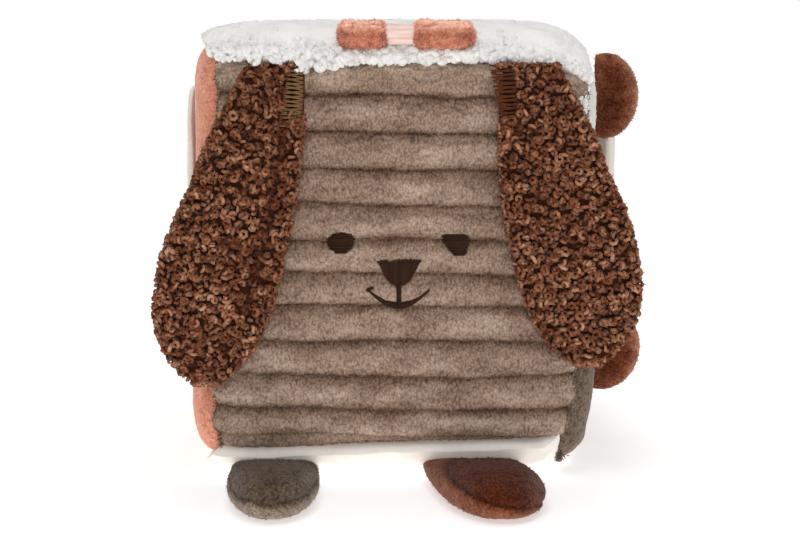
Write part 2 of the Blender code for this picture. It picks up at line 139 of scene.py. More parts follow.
def length(name, value, text):
    """A length property in metres."""
    return bpy.props.FloatProperty(name=name, description=text, default=value, unit="LENGTH", precision=5)


def colour(name, code, text):
    """A colour property from an sRGB hex value."""
    return bpy.props.FloatVectorProperty(name=name, description=text, default=linear(code), subtype="COLOR",
                                         size=3, min=0, max=1)


class BlockSizes(bpy.types.PropertyGroup):
    """Sizes of the stuffed block and of what is sewn on it."""
    half_width: length("Half width", 65.0 * mm, "From the middle to a side panel")
    half_depth: length("Half depth", 70.0 * mm, "From the middle to the back panel")
    half_height: length("Half height", 72.0 * mm, "From the middle to the top panel's backing")
    rib_height: length("Rib height", 2.3 * mm, "How far a rib of the plush stands over its grooves")
    nap: length("Nap", 0.8 * mm, "Size of the small tufts that the short pile falls into")
    curl_radius: length("Curl radius", 1.15 * mm, "Radius of a curl of the ears")
    curl_thread: length("Curl thread", 0.6 * mm, "Half the thickness of the yarn in a curl")
    wool_radius: length("Wool radius", 1.25 * mm, "Radius of a lock of the fleece")
    wool_thread: length("Wool thread", 1.15 * mm, "Half the thickness of a lock of the fleece")
    stitch: length("Stitch", 0.24 * mm, "Half the thickness of the thread that sews the face")


class BlockColours(bpy.types.PropertyGroup):
    """Colours of the fabrics."""
    plush: colour("Ribbed plush", "#a48a78", "Greige plush of the face")
    fleece: colour("Fleece", "#efedea", "White curly fleece of the top")
    coral: colour("Coral plush", "#eb9d82", "Short pile plush of the left side and the bow")
    taupe: colour("Taupe plush", "#7c6a5a", "Short pile plush of the right side and the left foot")
    brown: colour("Brown plush", "#6e3a24", "Short pile plush of the right foot and the paws")
    curls: colour("Curls", "#7c4a30", "Yarn of the ears")
    cotton: colour("White cotton", "#ebe4dc", "Cotton of the bottom panel")
    cream: colour("Cream cotton", "#ddd3c8", "Cotton of the back panel and the pages")
    satin: colour("Satin", "#fbd3c6", "Ribbon round the bow")
    thread: colour("Thread", "#331c0f", "Thread of the eyes, nose and mouth")
    overlock: colour("Overlock thread", "#7d6040", "Thread over the raw edges of the ears")


def settings():
    """The sizes and the colours that the sidebar shows."""
    return bpy.context.scene.block_sizes, bpy.context.scene.block_colours


# ---- Materials


def add_node(tree, kind, options=None, **inputs):
    """Add a node with its settings, and give each named input a value or a link."""
    made = tree.nodes.new("ShaderNode" + kind)
    for name, value in (options or {}).items():
        setattr(made, name, value)
    for name, value in inputs.items():
        socket = made.inputs[int(name[1:])] if name[1:].isdigit() else made.inputs[name.replace("_", " ")]
        if isinstance(value, bpy.types.NodeSocket):
            tree.links.new(value, socket)
        else:
            socket.default_value = value
    return made


def new_material(name):
    """An empty node material and its output node."""
    finish = bpy.data.materials.new(name)
    finish.use_nodes = True
    finish.node_tree.nodes.clear()
    return finish, finish.node_tree


def shade(tone, factor):
    """A colour made darker or lighter, with full alpha."""
    return [min(part * factor, 1) for part in tone] + [1]


def object_place(tree):
    """Where a point is on its object, as a socket."""
    return add_node(tree, "TexCoord").outputs["Object"]


def two_tones(tree, value, tone, *stops):
    """The colour for a value, between two stops that are a value and a factor of the tone each."""
    made = add_node(tree, "ValToRGB", Fac=value)
    for number, (place, factor) in enumerate(stops):
        made.color_ramp.elements[number].position = place
        made.color_ramp.elements[number].color = shade(tone, factor)
    return made.outputs["Color"]


def multiplied(tree, colours, factors):
    """A colour socket times a factor socket."""
    kind = {"data_type": "RGBA", "blend_type": "MULTIPLY"}
    return add_node(tree, "Mix", kind, i0=1.0, i6=colours, i7=factors).outputs[2]


def by_shade(tree, low, high):
    """A factor from low to high, by the shade attribute: the pile's own tone with painted light and shade."""
    spot = add_node(tree, "Attribute", {"attribute_name": "shade"}).outputs["Fac"]
    return add_node(tree, "MapRange", Value=spot, To_Min=low, To_Max=high).outputs["Result"]


def pile_material(name, tone, grain, patch, darkest=0.6, lightest=1.3, sheen=0.1, bump=0.7, stretch=(1, 1, 1),
                  glow=0.0):
    """Brushed pile: short fibres in small tufts, paler at their tips and richer in their depth.

    Emission paints light into white wool's hollows, as if light scattered between its fibres: glow says by how much.
    The shade attribute holds the pile's own tone with painted light and shade: low values make the colour darker and
    richer, high ones paler.
    """
    finish, tree = new_material(name)
    place = object_place(tree)
    sway = add_node(tree, "TexNoise", Vector=place, Scale=1 / (4 * grain), Detail=2).outputs["Color"]
    bent = add_node(tree, "VectorMath", {"operation": "MULTIPLY_ADD"}, i0=sway, i1=(3 * grain,) * 3, i2=place)
    laid = add_node(tree, "Mapping", Vector=bent.outputs["Vector"], Scale=stretch).outputs["Vector"]
    clumps = add_node(tree, "TexVoronoi", {"feature": "SMOOTH_F1"}, Vector=laid, Scale=1 / grain, Smoothness=0.35)
    hairs = add_node(tree, "TexNoise", Vector=laid, Scale=2.2 / grain, Detail=3, Roughness=0.65)
    hollow = add_node(tree, "Math", {"operation": "MULTIPLY_ADD"}, i0=clumps.outputs["Distance"], i1=-0.42, i2=0.45)
    tufts = add_node(tree, "Math", {"operation": "MULTIPLY_ADD"}, i0=hairs.outputs["Fac"], i1=0.45,
                     i2=hollow.outputs["Value"]).outputs["Value"]
    patches = add_node(tree, "TexNoise", Vector=place, Scale=1 / patch, Detail=2, Roughness=0.5)
    spread = add_node(tree, "MapRange", Value=patches.outputs["Fac"], To_Min=0.84, To_Max=1.16)
    dyed = two_tones(tree, tufts, tone, (0.28, darkest), (0.76, lightest))
    patchy = multiplied(tree, dyed, spread.outputs["Result"])
    # Painted shade comes out darker and richer, painted light paler.
    rich = add_node(tree, "Gamma", Color=patchy, Gamma=by_shade(tree, 1.5, 0.6)).outputs["Color"]
    relief = add_node(tree, "Bump", Strength=bump, Distance=0.6 * grain, Height=tufts)
    shader = add_node(tree, "BsdfPrincipled", Base_Color=multiplied(tree, rich, by_shade(tree, 0.6, 1.4)),
                      Normal=relief.outputs["Normal"], Roughness=0.95, Specular_IOR_Level=0.05,
                      Sheen_Weight=sheen, Sheen_Roughness=0.4,
                      Sheen_Tint=shade([0.5 + 0.5 * part for part in tone], 1),
                      Emission_Color=shade(tone, 1), Emission_Strength=glow)
    add_node(tree, "OutputMaterial", Surface=shader.outputs["BSDF"])
    return finish


def cotton_material(name, tone, thread):
    """Plain woven cotton: two crossed sets of threads, drawn at twice their real 0.25 mm so that they show.

    Emission paints a little light into the cotton, for light from the pale floor that thin cotton would let through.
    """
    finish, tree = new_material(name)
    place = object_place(tree)
    across, lengthwise = (
        add_node(tree, "TexWave", {"bands_direction": run}, Vector=place, Scale=0.3 / thread, Distortion=1.5,
                 Detail=2).outputs["Fac"] for run in ("DIAGONAL", "Z"))
    weave = add_node(tree, "Math", {"operation": "MULTIPLY"}, i0=across, i1=lengthwise)
    slubs = add_node(tree, "TexNoise", Vector=place, Scale=1 / (9 * mm), Detail=4, Roughness=0.6)
    dyed = two_tones(tree, slubs.outputs["Fac"], tone, (0.3, 0.92), (0.7, 1.05))
    relief = add_node(tree, "Bump", Strength=0.12, Distance=thread / 2, Height=weave.outputs["Value"])
    # The emission strength of 0.14 is painted light.
    shader = add_node(tree, "BsdfPrincipled", Base_Color=dyed, Normal=relief.outputs["Normal"], Roughness=0.85,
                      Sheen_Weight=0.15, Specular_IOR_Level=0.25, Emission_Color=shade(tone, 1),
                      Emission_Strength=0.14)
    add_node(tree, "OutputMaterial", Surface=shader.outputs["BSDF"])
    return finish


def yarn_material(name, tone, strand, gloss, specular=0.3, stretch=(1, 1, 1)):
    """Twisted or floating yarn, such as embroidery thread and satin, with fine strands and a soft gloss."""
    finish, tree = new_material(name)
    drawn = add_node(tree, "Mapping", Vector=object_place(tree), Scale=stretch).outputs["Vector"]
    strands = add_node(tree, "TexNoise", Vector=drawn, Scale=1 / strand, Detail=2, Roughness=0.5).outputs["Fac"]
    dyed = two_tones(tree, strands, tone, (0.3, 0.75), (0.7, 1.2))
    relief = add_node(tree, "Bump", Strength=0.15, Distance=0.3 * strand, Height=strands)
    shader = add_node(tree, "BsdfPrincipled", Base_Color=multiplied(tree, dyed, by_shade(tree, 0.4, 1.6)),
                      Normal=relief.outputs["Normal"], Roughness=gloss, Specular_IOR_Level=specular)
    add_node(tree, "OutputMaterial", Surface=shader.outputs["BSDF"])
    return finish


def fabrics():
    """By key, the function that makes each fabric's material and its values, in the order of its arguments."""
    sizes, tones = settings()
    # The ground cloth of the ears is far darker than the curls, as painted shade in the gaps between them.
    ground_in_painted_shade = [part * 0.3 for part in tones.curls]
    foam = linear("#e6dfc8")
    straight = (1, 1, 1)
    pile, cotton, yarn = pile_material, cotton_material, yarn_material
    return {
        "ribbed_plush": (pile, "ribbed plush pile", tones.plush, sizes.nap, 9 * mm, 0.4, 1.5, 0.15, 1.3,
                         (1.1, 1, 0.75)),
        # The fleece's last value, 0.06, is emission that paints light into its hollows.
        "white_sherpa": (pile, "sherpa fleece locks", tones.fleece, 0.6 * mm, 12 * mm, 0.93, 1.03, 0.1, 0.3,
                         straight, 0.06),
        "coral_velboa": (pile, "coral short pile", tones.coral, 0.85 * mm, 8 * mm, 0.6, 1.3, 0.5, 1.1),
        "taupe_velboa": (pile, "taupe short pile", tones.taupe, 0.9 * mm, 8 * mm, 0.35, 1.55, 0.4, 1.3),
        "brown_velboa": (pile, "brown short pile", tones.brown, 0.9 * mm, 7 * mm, 0.35, 1.8, 0.35, 1.3),
        "brown_curls": (pile, "boucle yarn", tones.curls, 0.4 * mm, 14 * mm, 0.7, 1.35, 0.3),
        "curl_backing": (pile, "boucle ground cloth", ground_in_painted_shade, 0.8 * mm, 12 * mm),
        "foam": (pile, "soft foam", foam, 1.5 * mm, 20 * mm, 0.9, 1.05, 0),
        "white_cotton": (cotton, "white woven cotton", tones.cotton, 0.5 * mm),
        "cream_cotton": (cotton, "cream woven cotton", tones.cream, 0.5 * mm),
        "pink_satin": (yarn, "satin ribbon", tones.satin, 1.2 * mm, 0.3, 0.6, (0.12, 0.5, 1)),
        "dark_thread": (yarn, "embroidery thread", tones.thread, 0.35 * mm, 0.6, 0.15),
        "overlock_thread": (yarn, "overlock thread", tones.overlock, 0.35 * mm, 0.7, 0.15),
    }


finishes = {}


def finish_of(key):
    """The material of a fabric, made the first time that it is asked for."""
    if key not in finishes:
        make, *values = fabrics()[key]
        finishes[key] = make(*values)
    return finishes[key]


# ---- Shapes


def along(shares, places):
    """Values of a table of shares at an array of places, on a smooth curve through its rows."""
    xs, ys = np.array(shares, float).T
    places = np.clip(places, xs[0], xs[-1])
    last = len(xs) - 1
    step = np.clip(np.searchsorted(xs, places, side="right") - 1, 0, last - 1)
    before, after = np.maximum(step - 1, 0), np.minimum(step + 2, last)
    run = xs[step + 1] - xs[step]
    low, high = ys[step], ys[step + 1]
    slope_low = (high - ys[before]) / (xs[step + 1] - xs[before]) * run
    slope_high = (ys[after] - low) / (xs[after] - xs[step]) * run
    t = (places - xs[step]) / run
    cubic = (2 * low - 2 * high + slope_low + slope_high) * t ** 3
    return cubic + (3 * high - 3 * low - 2 * slope_low - slope_high) * t ** 2 + slope_low * t + low


def grain_at(points, size, seed=0):
    """Smooth noise from about -1 to 1 at each point, with features of that size in metres."""
    shift = Vector((seed * 7.31, seed * 3.17, seed * 5.71))
    size = np.broadcast_to(size, 3)
    return np.array([noise.noise(Vector(point / size) + shift) for point in points]) * 1.6


def coordinates(data):
    """The vertices of a mesh as an array."""
    found = np.empty(len(data.vertices) * 3, np.float32)
    data.vertices.foreach_get("co", found)
    return found.reshape(-1, 3).astype(float)


def place_points(data, points):
    """Move the vertices of a mesh to an array of points."""
    data.vertices.foreach_set("co", np.asarray(points, np.float32).ravel())
    data.update()


def as_mesh(name, mesh):
    """A mesh datablock from a bmesh."""
    data = bpy.data.meshes.new(name)
    mesh.to_mesh(data)
    mesh.free()
    return data


def take_in(mesh, data):
    """Add a mesh datablock to a bmesh, and remove it."""
    mesh.from_mesh(data)
    bpy.data.meshes.remove(data)


def add_object(name, mesh, key):
    """An object of a bmesh at the origin, smooth-shaded, in the fabric of that key."""
    data = as_mesh(name, mesh)
    data.materials.append(finish_of(key))
    data.shade_smooth()
    item = bpy.data.objects.new(name, data)
    bpy.context.scene.collection.objects.link(item)
    set_shade(item, 0.5)
    return item


def face_outward(mesh):
    """Turn the faces of a closed bmesh outward."""
    bmesh.ops.recalc_face_normals(mesh, faces=mesh.faces)
    if mesh.calc_volume(signed=True) < 0:
        bmesh.ops.reverse_faces(mesh, faces=mesh.faces)


def mapped_grid(columns, rows, surface):
    """A grid as a bmesh, whose points surface() sets from two arrays of places from -1 to 1."""
    mesh = bmesh.new()
    bmesh.ops.create_grid(mesh, x_segments=columns, y_segments=rows, size=1)
    flat = np.array([vert.co for vert in mesh.verts])
    for vert, point in zip(mesh.verts, surface(flat[:, 0], flat[:, 1])):
        vert.co = point
    return mesh


def shell(name, cells, coarse, outer, inner, key):
    """A closed sheet of an outer and an inner face, each with its own number of cells, joined round the rim."""
    mesh = mapped_grid(*cells, outer)
    take_in(mesh, as_mesh("lining", mapped_grid(*coarse, inner)))
    bmesh.ops.bridge_loops(mesh, edges=[edge for edge in mesh.edges if edge.is_boundary])
    face_outward(mesh)
    return add_object(name, mesh, key)


def ramp(values, start, run):
    """Values that go from 0 at start to 1 at start + run, where run may be negative."""
    return np.clip((values - start) / run, 0, 1)


def bell(values, width):
    """1 where the values are 0, falling off over the width to both sides."""
    return np.exp(-(values / width) ** 2)


def body_halves():
    """Half the width, depth and height of the stuffed body."""
    sizes = settings()[0]
    return np.array((sizes.half_width, sizes.half_depth, sizes.half_height))


def skin(directions, lift):
    """Points of the stuffed body's skin in some directions, raised by lift and flat where it rests."""
    halves = body_halves()
    reach = (np.abs(directions) ** body_power).sum(1) ** (-1 / body_power)
    lift = np.broadcast_to(lift, reach.shape)
    points = directions * reach[:, None] * (halves + lift[:, None])
    points[:, 2] += halves[2] - flat_depth
    facing = np.clip(-directions[:, 1], 0, 1)
    low = ramp(points[:, 2], flare_top, -flare_top)
    points[:, 0] *= 1 + np.where(points[:, 0] < 0, flare_left, flare_right) * low * facing
    tucked = ramp(points[:, 2], tuck_top, -tuck_top) ** tuck_power * facing ** 2
    points[:, 0] -= bottom_tuck * tucked * np.clip(directions[:, 0], 0, 1) ** body_power
    high = ramp(points[:, 2], corner_from, corner_rise) ** 2 * facing ** 2
    for sign, (out, rise) in ((-1, left_corner), (1, right_corner)):
        share = np.clip(directions[:, 0] * sign, 0, 1) ** 4 * high
        points[:, 0] += sign * out * share
        points[:, 2] += rise * share
    points[:, 2] = np.maximum(points[:, 2], np.maximum(-lift, rest_clearance))
    return points


def skin_normals(directions):
    """Outward normals of the body's skin in some directions."""
    parts = np.sign(directions) * np.abs(directions) ** (body_power - 1) / body_halves()
    return parts / np.linalg.norm(parts, axis=1)[:, None]


def bent_seams(directions):
    """Directions bent near the face so that its seams run level and upright on the rounded body."""
    x, y, z = directions.T
    near = np.clip(-y, 0, 1) ** 4
    bent = directions.copy()
    bent[:, 2] -= near * seam_level * np.clip(1 - x ** 2, 0, 1) * np.abs(z) ** 6 * np.sign(z)
    bent[:, 0] -= near * seam_upright * np.clip(1 - z ** 2, 0, 1) * np.abs(x) ** 6 * np.sign(x)
    return bent


def eased(places):
    """Places from -1 to 1, drawn towards both ends."""
    return np.sin(places * math.pi / 2)


def uneased(places):
    """The places that eased() would draw to these."""
    return np.arcsin(np.clip(places, -1, 1)) / (math.pi / 2)


def between(corners, s, t):
    """Directions inside a panel between its four corners, which are low-low, high-low, low-high and high-high."""
    u, v = ((eased(s) + 1) / 2)[:, None], ((eased(t) + 1) / 2)[:, None]
    ll, hl, lh, hh = (np.array(corner, float) for corner in corners)
    return bent_seams(ll * (1 - u) * (1 - v) + hl * u * (1 - v) + lh * (1 - u) * v + hh * u * v)


def seam_share(corners, s, t):
    """How far the skin is drawn in at a seam: 1 on the panel's edge and 0 past the seam's reach."""
    middle = [skin(np.array([corner], float), 0)[0] for corner in corners]
    width = (np.linalg.norm(middle[1] - middle[0]) + np.linalg.norm(middle[3] - middle[2])) / 2
    height = (np.linalg.norm(middle[2] - middle[0]) + np.linalg.norm(middle[3] - middle[1])) / 2
    edge = np.minimum((1 - np.abs(eased(s))) * width, (1 - np.abs(eased(t))) * height) / 2
    return (1 - np.minimum(edge / seam_reach, 1)) ** 2


def panel(name, corners, cells, relief, key):
    """One sewn panel of the stuffed body, with a relief over its skin."""
    def outer(s, t):
        directions = between(corners, s, t)
        drawn = seam_share(corners, s, t)
        flat = skin(directions, 0)
        return skin(directions, relief(flat, drawn, s, t) - seam_draw * drawn)

    def inner(s, t):
        return skin(between(corners, s, t), -skin_thickness)

    return shell(name, cells, (16, 16), outer, inner, key)


def set_shade(item, values):
    """Write how light each point's pile is, from its own tone and from painted light and shade, where 0.5 is as
    dyed.
    """
    layer = item.data.attributes.get("shade") or item.data.attributes.new("shade", "FLOAT", "POINT")
    full = np.broadcast_to(values, len(item.data.vertices)).astype(np.float32)
    layer.data.foreach_set("value", full)


def stands_for(nodes):
    """Hide the frame nodes that a piece stands for."""
    if nodes:
        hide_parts(*nodes)


def belongs(item, nodes=()):
    """Hang a piece on the block's body, and hide the frame nodes that it stands for."""
    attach(item, "block")
    stands_for(nodes)


def hinged(item, nodes=()):
    """Bake a piece's place into its mesh, and hide the frame nodes that it stands for."""
    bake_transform(item)
    stands_for(nodes)


def tube(path, radii, sides):
    """A closed tube along a path, by extruding a circle, as a bmesh."""
    mesh = bmesh.new()
    points = [Vector(point) for point in path]
    heading = (points[1] - points[0]).normalized()
    turn = heading.to_track_quat("Z", "Y")
    ring = bmesh.ops.create_circle(mesh, cap_ends=True, segments=sides, radius=1)["verts"]
    flat = [vert.co.copy() for vert in ring]
    cap = mesh.faces[:]
    for index, (point, radius) in enumerate(zip(points, radii)):
        if index:
            grown = bmesh.ops.extrude_face_region(mesh, geom=cap)["geom"]
            cap = [part for part in grown if isinstance(part, bmesh.types.BMFace)]
            fresh = [part for part in grown if isinstance(part, bmesh.types.BMVert)]
            near = {tuple(round(value, 7) for value in vert.co): vert for vert in fresh}
            ring = [near[tuple(round(value, 7) for value in vert.co)] for vert in ring]
            ahead = points[min(index + 1, len(points) - 1)] - points[index - 1]
            turn = heading.rotation_difference(ahead.normalized()) @ turn
            heading = ahead.normalized()
        for vert, spot in zip(ring, flat):
            vert.co = point + turn @ (spot * radius)
    face_outward(mesh)
    return mesh


def gather(name, kinds, places, key, shades, outward=None, depth=0.0):
    """One object of many small shapes: places are pairs of a kind's number and its matrix.

    Each shape is as light as its value in shades, with painted light where it reaches outward and painted shade
    where it reaches inward, by depth.
    """
    whole = bmesh.new()
    batch = 60
    for start in range(0, len(places), batch):
        part = bmesh.new()
        for kind, matrix in places[start:start + batch]:
            copy = kinds[kind].copy()
            copy.transform(matrix)
            take_in(part, copy)
        take_in(whole, as_mesh("part", part))
    item = add_object(name, whole, key)
    values = np.repeat(shades, [len(kinds[kind].vertices) for kind, matrix in places])
    # Painted light and shade: points that reach further along outward are lighter.
    if outward is not None:
        shapes = [coordinates(kind) for kind in kinds]
        rises = np.concatenate([shapes[kind] @ np.array(matrix.to_3x3()).T @ outward for kind, matrix in places])
        values = values + depth * rises / rises.std()
    set_shade(item, np.clip(values, 0.02, 1.2))
    return item


def turned(point, heading, roll, size):
    """A matrix that puts a shape's Z along a heading at a point, rolled round it and scaled."""
    turn = Vector(heading).to_track_quat("Z", "Y").to_matrix().to_4x4()
    return Matrix.Translation(Vector(point)) @ turn @ Matrix.Rotation(roll, 4, "Z") @ Matrix.Scale(size, 4)


def stray(dice):
    """A random vector that favours no direction."""
    return Vector((dice.gauss(0, 1), dice.gauss(0, 1), dice.gauss(0, 1)))


def one_of(kinds, dice, point, heading, size):
    """A place in gather() for one of the kinds, picked and rolled at random."""
    return dice.randrange(len(kinds)), turned(point, heading, dice.uniform(0, full_roll), size)


def curl_kinds(radius, thread, dice, count, turns, steps, sides):
    """Some unlike curls of yarn: short tight coils that open a little and thin at both ends."""
    kinds = []
    for number in range(count):
        sweep = dice.uniform(*turns) * 2 * math.pi
        rise = dice.uniform(0.7, 1.3) * radius
        wide = dice.uniform(0.85, 1.15) * radius
        path, radii = [], []
        for step in range(steps + 1):
            share = step / steps
            angle = sweep * share
            open_out = wide * (1 - 0.35 * share)
            path.append((open_out * math.cos(angle), open_out * math.sin(angle), rise * (share - 0.5)))
            radii.append(thread * (0.6 + 0.4 * math.sin(math.pi * min(max(share, 0.1), 0.9)) ** 0.5))
        kinds.append(as_mesh("curl", tube(path, radii, sides)))
    return kinds


def tuft_kinds(dice, count, size):
    """Some unlike tufts of pile: bent cones."""
    kinds = []
    for number in range(count):
        lean = dice.uniform(0.2, 0.7)
        path = [(lean * size * share ** 2, 0, size * share) for share in (0, 0.5, 1)]
        kinds.append(as_mesh("tuft", tube(path, [0.2 * size, 0.16 * size, 0.05 * size], 4)))
    return kinds


def brush(item, name, key, count, size, seed):
    """Let tufts of pile stand out of a piece at random, as light as the pile that they grow from."""
    dice = random.Random(seed)
    kinds = tuft_kinds(dice, 6, size)
    points, normals = coordinates(item.data), np.array([vert.normal for vert in item.data.vertices])
    values = np.empty(len(points), np.float32)
    item.data.attributes["shade"].data.foreach_get("value", values)
    places, shades = [], []
    for pick in dice.sample(range(len(points)), count):
        heading = Vector(normals[pick]) + stray(dice) * 0.6
        root = points[pick] - normals[pick] * 0.25 * size
        kind, roll = dice.randrange(len(kinds)), dice.uniform(0, full_roll)
        places.append((kind, turned(root, heading, roll, dice.uniform(0.6, 1))))
        shades.append(float(values[pick]) + dice.uniform(-0.12, 0.3))
    tufts = gather(name, kinds, places, key, shades)
    spots = coordinates(tufts.data)
    spots[:, 2] = np.maximum(spots[:, 2], rest_clearance)
    place_points(tufts.data, spots)
    return tufts


# ---- Body panels


def rib_phase(points):
    """Place across a rib, from 0 at its lower groove to 1 at its upper one, how full it is, and its width."""
    waver = grain_at(points * (1, 0, 1) + (0, 0.1, 0), (28 * mm, 1, 9 * mm), 1) * 0.8 * mm
    level = points[:, 2] - groove_tilt * points[:, 0] + waver
    marks = np.array([groove_heights[0] + 11.3 * mm, *groove_heights, groove_heights[-1] - 8 * mm])[::-1]
    level = level + grain_at(points * (1, 0, 1), (5 * mm, 1, 4 * mm), 12) * 0.22 * mm
    step = np.clip(np.searchsorted(marks, level) - 1, 0, len(marks) - 2)
    pitch = marks[step + 1] - marks[step]
    phase = np.clip((level - marks[step]) / pitch, 0, 1)
    sliver = np.where(step < 1, 0.35, 1)
    return phase, np.clip(np.sin(phase ** 0.7 * math.pi), 0, 1) ** 0.5 * sliver, pitch


def rib_relief(points, drawn, s, t):
    """Height of the ribbed plush: ribs that hang a little over their lower grooves, with a brushed nap."""
    sizes = settings()[0]
    phase, crown, pitch = rib_phase(points)
    nap = grain_at(points, (2.4 * sizes.nap, 1, 1.4 * sizes.nap), 2) * 0.24 * mm
    clumps = grain_at(points, (6 * mm, 1, 2.6 * mm), 3) * 0.3 * mm
    return (sizes.rib_height * crown + clumps) * (1 - 0.5 * drawn) + nap


def velboa_relief(points, drawn, s, t):
    """Height of short pile plush: a fine nap over slow waves, and a tail that lies over the band at the right."""
    tail = ramp(points[:, 2], 15 * mm, -4 * mm) * ramp(-points[:, 1], 50 * mm, 6 * mm)
    return grain_at(points, 1.1 * mm, 4) * 0.1 * mm + grain_at(points, 16 * mm, 5) * 0.35 * mm * (1 - drawn) \
        + tail * (points[:, 0] > 0) * (0.9 + 0.8 * drawn) * mm


def cotton_relief(points, drawn, s, t):
    """Height of smooth cotton: a few slow wrinkles, and a fold across the band under the face."""
    inside = ramp(np.abs(points[:, 0] + 6 * mm), 60 * mm, -9 * mm)
    band = np.clip(-points[:, 1] / mm - 48, 0, 10) / 10 * inside
    fold = bell(points[:, 0] - 40 * mm - 2.6 * (points[:, 2] - 7 * mm), 2.2 * mm)
    return grain_at(points, (9 * mm, 30 * mm, 14 * mm), 6) * 0.3 * mm + band * (2.6 + 0.7 * fold) * mm \
        + band * seam_draw * drawn


def fleece_relief(points, drawn, s, t):
    """Height of the fleece: matted wool whose curls press together."""
    curls = np.abs(grain_at(points, 2.6 * mm, 7)) * 0.5 * mm + grain_at(points, 9 * mm, 13) * 0.5 * mm
    return 2.3 * mm - curls * (1 - drawn) + grain_at(points, 1.2 * mm, 14) * 0.1 * mm


def wrap_relief(points, drawn, s, t):
    """Height of the fleece where it wraps the right front corner: thin at its edges."""
    return 0.9 * mm + grain_at(points, 1.6 * mm, 24) * 0.25 * mm - drawn * 1.2 * mm


class SOFTBLOCK_OT_front(bpy.types.Operator):
    """Sew the ribbed plush of the face"""
    bl_idname = "softblock.front"
    bl_label = "Ribbed front"

    def execute(self, context):
        corners = [front_corners[key] for key in ("bl", "br", "tl", "tr")]
        item = panel("front_plush", corners, (290, 320), rib_relief, "ribbed_plush")
        points = coordinates(item.data)
        phase, crown, pitch = rib_phase(points)
        edge = ramp(np.abs(points[:, 0] + 1.5 * mm), 48 * mm, 9 * mm) ** 2
        points[:, 0] += np.sign(points[:, 0]) * edge * (crown - 0.4) * 1.8 * mm
        place_points(item.data, points)
        # Painted shade: groove darkens the grooves between the ribs, and under paints the shadow at the edges of
        # each rib, most under the rib above; the low sliver gets no painted rib shadow.
        groove = bell(np.minimum(phase, 1 - phase) * pitch, 0.55 * mm)
        under = bell((1 - phase) * pitch, 3.2 * mm) + 0.5 * bell(phase * pitch, 1.8 * mm)
        brushed = grain_at(points, (10 * mm, 8 * mm, 4 * mm), 15) * 0.14
        mouth = np.exp(-(points[:, 0] / (13 * mm)) ** 2 - ((points[:, 2] - 62 * mm) / (7 * mm)) ** 2)
        # Painted fill light: the face gets lighter towards the bottom.
        low = ramp(points[:, 2], 45 * mm, -45 * mm)
        under *= ramp(points[:, 2], 15.5 * mm, 2 * mm)
        tangled = grain_at(points, (3.2 * mm, 3 * mm, 1.6 * mm), 25) * 0.07
        # Painted light on the top rib under the fleece, which also gets no painted rib shadow.
        painted_top_light = ramp(points[:, 2], 126 * mm, 6 * mm)
        # The shade adds a painted highlight on the crests, painted shade in the grooves and under each rib, and
        # painted light at the top and towards the bottom.
        set_shade(item, 0.54 + 0.05 * crown - 0.26 * groove - 0.28 * under * (1 - painted_top_light) + 0.16 * painted_top_light + brushed
                  + tangled + 0.1 * mouth + 0.06 * low)
        belongs(item, ["front_panel"])
        return {"FINISHED"}


class SOFTBLOCK_OT_sides(bpy.types.Operator):
    """Sew the two side panels of short pile plush, the bottom panel and the back panel"""
    bl_idname = "softblock.sides"
    bl_label = "Sides, bottom and back"

    def execute(self, context):
        front_, rear = front_corners, rear_corners
        rows = (
            ("left_side", (rear["bl"], front_["bl"], rear["tl"], front_["tl"]), (190, 180), velboa_relief,
             "coral_velboa", "left_panel"),
            ("right_side", (tail_corner, rear["br"], front_["tr"], rear["tr"]), (190, 180), velboa_relief,
             "taupe_velboa", "right_panel"),
            ("bottom_cloth", (rear["bl"], rear["br"], front_["bl"], front_["br"]), (90, 90), cotton_relief,
             "white_cotton", "bottom_panel"),
            ("back_cloth", (rear["br"], rear["bl"], rear["tr"], rear["tl"]), (90, 90), cotton_relief,
             "cream_cotton", "back_panel"),
        )
        for name, corners, cells, relief, key, node in rows:
            item = panel(name, corners, cells, relief, key)
            if key in ("coral_velboa", "taupe_velboa"):
                points = coordinates(item.data)
                # Painted sheen and shade: each side's pile is darker near the front seam and lighter towards the far
                # edge.
                near = ramp(-points[:, 1], 54 * mm, 11 * mm)
                high = ramp(points[:, 2], 85 * mm, 40 * mm) * (key == "taupe_velboa")
                mottled = grain_at(points, 2.5 * mm, 22) * 0.07
                set_shade(item, np.clip(0.7 - 0.2 * near + 0.3 * high + mottled, 0.1, 1.1))
            belongs(item, [node])
        return {"FINISHED"}


